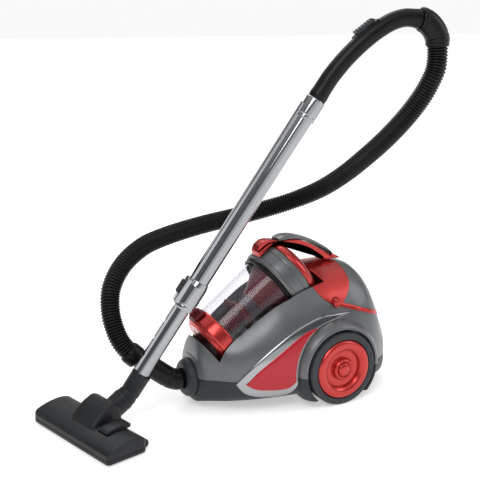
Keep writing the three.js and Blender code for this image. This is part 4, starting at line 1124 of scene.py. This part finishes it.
def make_handle():
    line = spline([in_plane(s, z) for s, z in ((326.1, 591.8), (338.5, 610.6), (352, 630.5), (378, 661),
        (409, 690), (440, 713), (466, 727), (490, 733))] + [along_end(-7), along_end(0)], 10)

    def radius(t):
        return GRIP_R + 0.9 * exp(-((t - 0.03) / 0.03) ** 2) + 1.2 * exp(-((t - 0.985) / 0.03) ** 2)

    grip = swept("handle_pipe", evenly(line, 110), radius, 64)
    join(grip, slider_block("vent_housing", 56, 22, 2, 17.5, 3.0))
    cut(grip, swept("bore", evenly(line, 80), GRIP_BORE, 40),
        wand_rod("foot", 30, SLEEVE_LOW, SLEEVE_TOP + GAP))
    smooth(grip, 35)
    piece(grip, "handle", "black_gloss", "handle_tube")
    slider = slider_block("suction_shutter", 40, 20, 17.9, 24, 1.2)
    ribs = [slider_block("rib", 2.4, 30, 22.4, 28, 0, (i - 2.5) * 6.4) for i in range(6)]
    cut(slider, *ribs)
    smooth(slider)
    piece(slider, "suction_slider", "charcoal", "suction_slider")

    bend = spline([along_end(0.5), along_end(6), in_plane(534, 724), in_plane(545, 713),
        in_plane(551.5, 702), in_plane(554, 694.5), in_plane(554.2, 689)], 12)

    def bend_radius(t):
        grooves = exp(-((t - 0.14) / 0.016) ** 2) + exp(-((t - 0.80) / 0.016) ** 2)
        return SWIVEL_R - 1.0 * grooves - 1.4 * (exp(-(t / 0.03) ** 2) + exp(-((1 - t) / 0.03) ** 2))

    swivel = swept("swivel_bend", evenly(bend, 120), bend_radius, 64, bore=13.5)
    join(swivel, turned("skirt", [[HOSE_R + 0.4, -1], [SWIVEL_R - 0.6, -1], [SWIVEL_R - 0.4, 3],
        [SWIVEL_R - 1, 6], [HOSE_R + 0.4, 6]], bend[-1], -Z, 0.3, 64))
    smooth(swivel, 35)
    piece(swivel, "hose_set", "black_gloss", "hose_swivel")


make_handle()


# ---- Floor head: its own frame has x across its depth and y across its width ---------------------
HEAD_CENTRE = Vector((-485, -45, 0))
HEAD_TURN = radians(14.3)
HEAD_HALF, HEAD_DEEP = 120, 41
NECK_PIVOT = Vector((22, 0, 24))
NECK_RING = Vector((-403.8, -24.9, 55.3))
TURN = Matrix.Translation(HEAD_CENTRE) @ Matrix.Rotation(HEAD_TURN, 4, "Z")
PIVOT = TURN @ NECK_PIVOT
NECK_WAY = (NECK_RING - PIVOT).normalized()
HEAD_AXIS = (TURN.to_3x3() @ Y).normalized()


def in_head(obj):
    """Moves a piece made round the origin to the floor head's place."""
    back = Matrix.Translation(-ORIGIN)
    there = Matrix.Translation(ORIGIN) @ Matrix.Translation(HEAD_CENTRE * MM) @ Matrix.Rotation(HEAD_TURN,
        4, "Z")
    obj.data.transform(there @ back)
    return obj


def make_neck():
    length = (NECK_RING - PIVOT).length
    socket = turned("neck_cup",
        [[0, -5], [19.9, -5], [19.9, -3.4], [19.1, -2.8], [19.5, -2.2], [19.5, 4], [0, 4]], NECK_RING,
        NECK_WAY, 0.5, 96)
    ball = turned("ball", [(19.5 * sin(w), 19.5 * cos(w)) for w in (pi * k / 32 for k in range(33))],
        NECK_RING, WAND, 0, 96)
    sleeve = turned("sleeve", [[0, -44], [18.2, -44], [18.4, -8], [18.8, -4], [18.2, 0], [0, 0]], WAND_FOOT,
        WAND, 0.8, 96)
    join(socket, ball, sleeve)
    cut(socket, wand_rod("room", TUBE_LOW_R + GAP, -37, 1), rod("room", 40, NECK_RING, NECK_WAY, -60, -5),
        wand_rod("room", 12.5, -60, -30), rod("room", 13, NECK_RING, NECK_WAY, -8, 8))
    smooth(socket)
    piece(socket, "lower_tube", "nozzle", "neck_socket")
    neck = turned("neck_pipe", [[0, 8], [19.6, 8], [20.6, 16], [20.6, length - 12], [21, length - 10.5],
        [21, length - 5.4], [0, length - 5.4]], PIVOT, NECK_WAY, 0.6, 96)
    join(neck, rod("drum", 19, PIVOT, HEAD_AXIS, -20, 20, 96, 1.5))
    cut(neck, rod("bore", 15, PIVOT, NECK_WAY, 4, length), in_head(box("bore", -10, 30, -14, 14, -10, 22)))
    smooth(neck)
    piece(neck, "neck", "nozzle", "neck_elbow")


make_neck()

PEDAL_X, PEDAL_Y, PEDAL_HALF = 16, -62, 13
ROLLER_R, ROLLER_PIN_R, ROLLER_HALF = 8, 2, 5
ROLLER_X = HEAD_DEEP + ROLLER_R + 2.5
ROLLERS = {"left": -96, "right": 96}


def plan_ring(half_x, half_y, corner, z, steps=8):
    """A rounded rectangle at one height."""
    ring = []
    for qx, qy, first in ((1, 1, 0), (-1, 1, 90), (-1, -1, 180), (1, -1, 270)):
        for k in range(steps + 1):
            w = radians(first + 90 * k / steps)
            ring.append(Vector((qx * (half_x - corner) + corner * cos(w), qy * (half_y - corner)
                + corner * sin(w), z)))
    return ring


def make_head():
    levels = [(4, 1.2), (5.2, 0), (10.6, 0), (11.2, 1.0), (12.0, 1.0), (12.6, 0.2), (30, 0.6), (44, 2.4)]
    shell = skinned("head_casing", [plan_ring(HEAD_DEEP - d, HEAD_HALF - d, 7, z) for z, d in levels])
    crown = [(-60, 19), (-41, 20), (-36, 25), (-20, 31.5), (0, 35.5), (20, 36), (35, 32), (41, 27),
        (60, 25)]
    side = curve(crown) + [(60, -10), (-60, -10)]
    common(shell, slab("camber", side, -HEAD_HALF, HEAD_HALF, 0, 0, 1))
    soften(shell, 1.8, 30, 4)
    hump_line = curve([(-22, 20), (-14, 37), (4, 54), (20, 63), (33, 67), (46, 60), (51, 36), (49, 8)])
    hump = slab("hump", hump_line + [(10, 8)], -36, 36, 8, 0, 8)
    ears = []
    for y in ROLLERS.values():
        side_line = [(HEAD_DEEP - 3, 5), (ROLLER_X + 2, 4.5), (ROLLER_X + 4, 8), (ROLLER_X + 2, 12),
            (HEAD_DEEP - 3, 22)]
        for y0, y1 in ((y - ROLLER_HALF - 3.5, y - ROLLER_HALF - GAP),
            (y + ROLLER_HALF + GAP, y + ROLLER_HALF + 3.5)):
            ears.append(slab("ear", side_line, y0, y1, 0.4, 1.5))
        ears.append(rod("pin", ROLLER_PIN_R, (ROLLER_X, y, ROLLER_R), Y, -ROLLER_HALF - 3, ROLLER_HALF + 3))
    join(shell, hump, *ears)
    inner_levels = [(0, 3), (26, 3)]
    inner = skinned("inner", [plan_ring(HEAD_DEEP - d, HEAD_HALF - d, 5, z) for z, d in inner_levels])
    lowered = [(x, z - 3) for x, z in curve(crown)] + [(60, -10), (-60, -10)]
    common(inner, slab("camber", lowered, -HEAD_HALF, HEAD_HALF, 0, 0, 1))
    sweep = []
    for k in range(6):
        block = slab("sweep", [(0, -21.8), (80, -21.8), (80, 21.8), (0, 21.8)], -22, 22, 0, 0, 1)
        angle = radians(5 + 33 * k / 5)
        block.data.transform(Matrix.Translation(ORIGIN + NECK_PIVOT * MM) @ Matrix.Rotation(-angle, 4,
            "Y") @ Matrix.Translation(-ORIGIN))
        sweep.append(block)
    recess = box("pedal_room", PEDAL_X - 28, PEDAL_X + 26, PEDAL_Y - PEDAL_HALF - 1.5, PEDAL_Y + PEDAL_HALF
        + 1.5, 29.5, 70, 2)
    cut(shell, inner, rod("drum", 21.4, NECK_PIVOT, Y, -22, 22, 96), *sweep, recess)
    smooth(shell, 35)
    piece(in_head(shell), "floor_head", "nozzle", "head_shell")

    pedal_line = curve([(-10, 34), (-10, 38), (8, 43), (38, 43), (40, 40), (40, 36), (16, 33)], 4)
    pedal = slab("height_pedal", pedal_line, PEDAL_Y - PEDAL_HALF, PEDAL_Y + PEDAL_HALF, 1.6, 0, 4)
    piece(in_head(pedal), "pedal", "nozzle", "pedal")
    sole = cut(skinned("sole_sheet", [plan_ring(37.6, 116.6, 4, z) for z in (1, 4.6)]),
        box("mouth", -14, 0, -95, 95, 0, 6), box("slot", -35, -29, -106, 106, 0, 6))
    piece(in_head(soften(sole, 0.4)), "floor_head", "steel", "sole_plate")
    for name, y in ROLLERS.items():
        roller = turned(f"rear_roller_{name}", [[2.06, -5], [7, -5], [8, -4], [8, 4], [7, 5], [2.06, 5]],
            (ROLLER_X, y, ROLLER_R), Y, 0.6)
        piece(in_head(roller), f"roller_{name}", "tyre", f"roller_{name}")


make_head()


def make_brush():
    """Many short tufts in a strip."""
    strip = box("bristle_strip", -34.2, -29.8, -104, 104, 6, 14, 0.6)
    bm = bmesh.new()
    bm.from_mesh(strip.data)
    tuft_count = 70
    for i in range(tuft_count):
        y = -103 + 206 * i / (tuft_count - 1)
        for x in (-33, -31.6, -30.4):
            lean = sin(i * 2.3 + x) * 0.25
            ring = []
            for z, r in ((7, 0.62), (0.05, 0.9)):
                ring.append([bm.verts.new(to_frame((x + r * cos(w) + (lean if z < 1 else 0), y + r * sin(w),
                    z))) for w in (2 * pi * k / 6 for k in range(6))])
            for k in range(6):
                j = (k + 1) % 6
                bm.faces.new((ring[0][k], ring[0][j], ring[1][j], ring[1][k]))
            bm.faces.new(list(reversed(ring[0])))
            bm.faces.new(ring[1])
    bmesh.ops.recalc_face_normals(bm, faces=bm.faces)
    bm.to_mesh(strip.data)
    bm.free()
    piece(in_head(strip), "brush", "foam", "brush_strip")


make_brush()


# ---- Pieces inside the casing ------------------------------------------------------------------
def finish_inner(node, slot):
    """An inner piece keeps its CAD shape, with its material and smooth shading."""
    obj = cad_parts[node]
    obj.data.materials.clear()
    obj.data.materials.append(MATERIALS[slot])
    smooth(obj, 32)


for inner_node, inner_slot in (("inlet_duct", "charcoal"), ("motor_housing", "charcoal"),
    ("exhaust_filter", "foam"), ("cord_reel", "charcoal"), ("fan_and_rotor", "steel"),
    ("rear_axle", "steel")):
    finish_inner(inner_node, inner_slot)


# ---- Floor, light -----------------------------------------------------------------------------
def make_stage():
    mesh = bpy.data.meshes.new("floor")
    half = 30
    mesh.from_pydata([(-half, -half, 0), (half, -half, 0), (half, half, 0), (-half, half, 0)], [],
        [(0, 1, 2, 3)])
    floor = bpy.data.objects.new("floor", mesh)
    bpy.context.collection.objects.link(floor)
    mat = bpy.data.materials.new("floor")
    mat.use_nodes = True
    shader = mat.node_tree.nodes["Principled BSDF"]
    shader.inputs["Base Color"].default_value = (0.86, 0.86, 0.86, 1)
    shader.inputs["Roughness"].default_value = 0.9
    shader.inputs["Specular IOR Level"].default_value = 0.1
    shader.inputs["Emission Color"].default_value = (1, 1, 1, 1)
    shader.inputs["Emission Strength"].default_value = 0.45
    mesh.materials.append(mat)


def area_light(name, place, target, size, power, size_y=None):
    data = bpy.data.lights.new(name, "AREA")
    data.energy = power
    data.shape = "RECTANGLE"
    data.size = size
    data.size_y = size_y or size
    light = bpy.data.objects.new(name, data)
    bpy.context.collection.objects.link(light)
    light.location = place
    light.rotation_euler = (Vector(target) - Vector(place)).to_track_quat("-Z", "Y").to_euler()


def make_world():
    """A white room: bright at the horizon and overhead, with a greyer band between that metal shows."""
    world = bpy.data.worlds.new("studio")
    bpy.context.scene.world = world
    world.use_nodes = True
    nodes, links = world.node_tree.nodes, world.node_tree.links
    ramp = nodes.new("ShaderNodeValToRGB")
    parts = nodes.new("ShaderNodeSeparateXYZ")
    links.new(nodes.new("ShaderNodeTexCoord").outputs["Generated"], parts.inputs["Vector"])
    links.new(parts.outputs["Z"], ramp.inputs["Fac"])
    stops = [(0.0, 1.0), (0.13, 1.0), (0.24, 0.16), (0.50, 0.26), (0.82, 1.0)]
    while len(ramp.color_ramp.elements) < len(stops):
        ramp.color_ramp.elements.new(0.5)
    for element, (place, value) in zip(ramp.color_ramp.elements, stops):
        element.position = place
        element.color = (value, value, value * 1.01, 1)
    links.new(ramp.outputs["Color"], nodes["Background"].inputs["Color"])
    nodes["Background"].inputs["Strength"].default_value = 0.95


make_stage()
make_world()
area_light("key", (-1.6, -1.8, 2.4), (0, 0, 0.2), 1.6, 34)
area_light("fill", (2.2, -1.2, 1.6), (0, 0, 0.2), 1.4, 14)
area_light("back", (0.6, 2.0, 2.6), (0, 0, 0.3), 1.8, 26)
bpy.context.scene.view_settings.view_transform = "Standard"
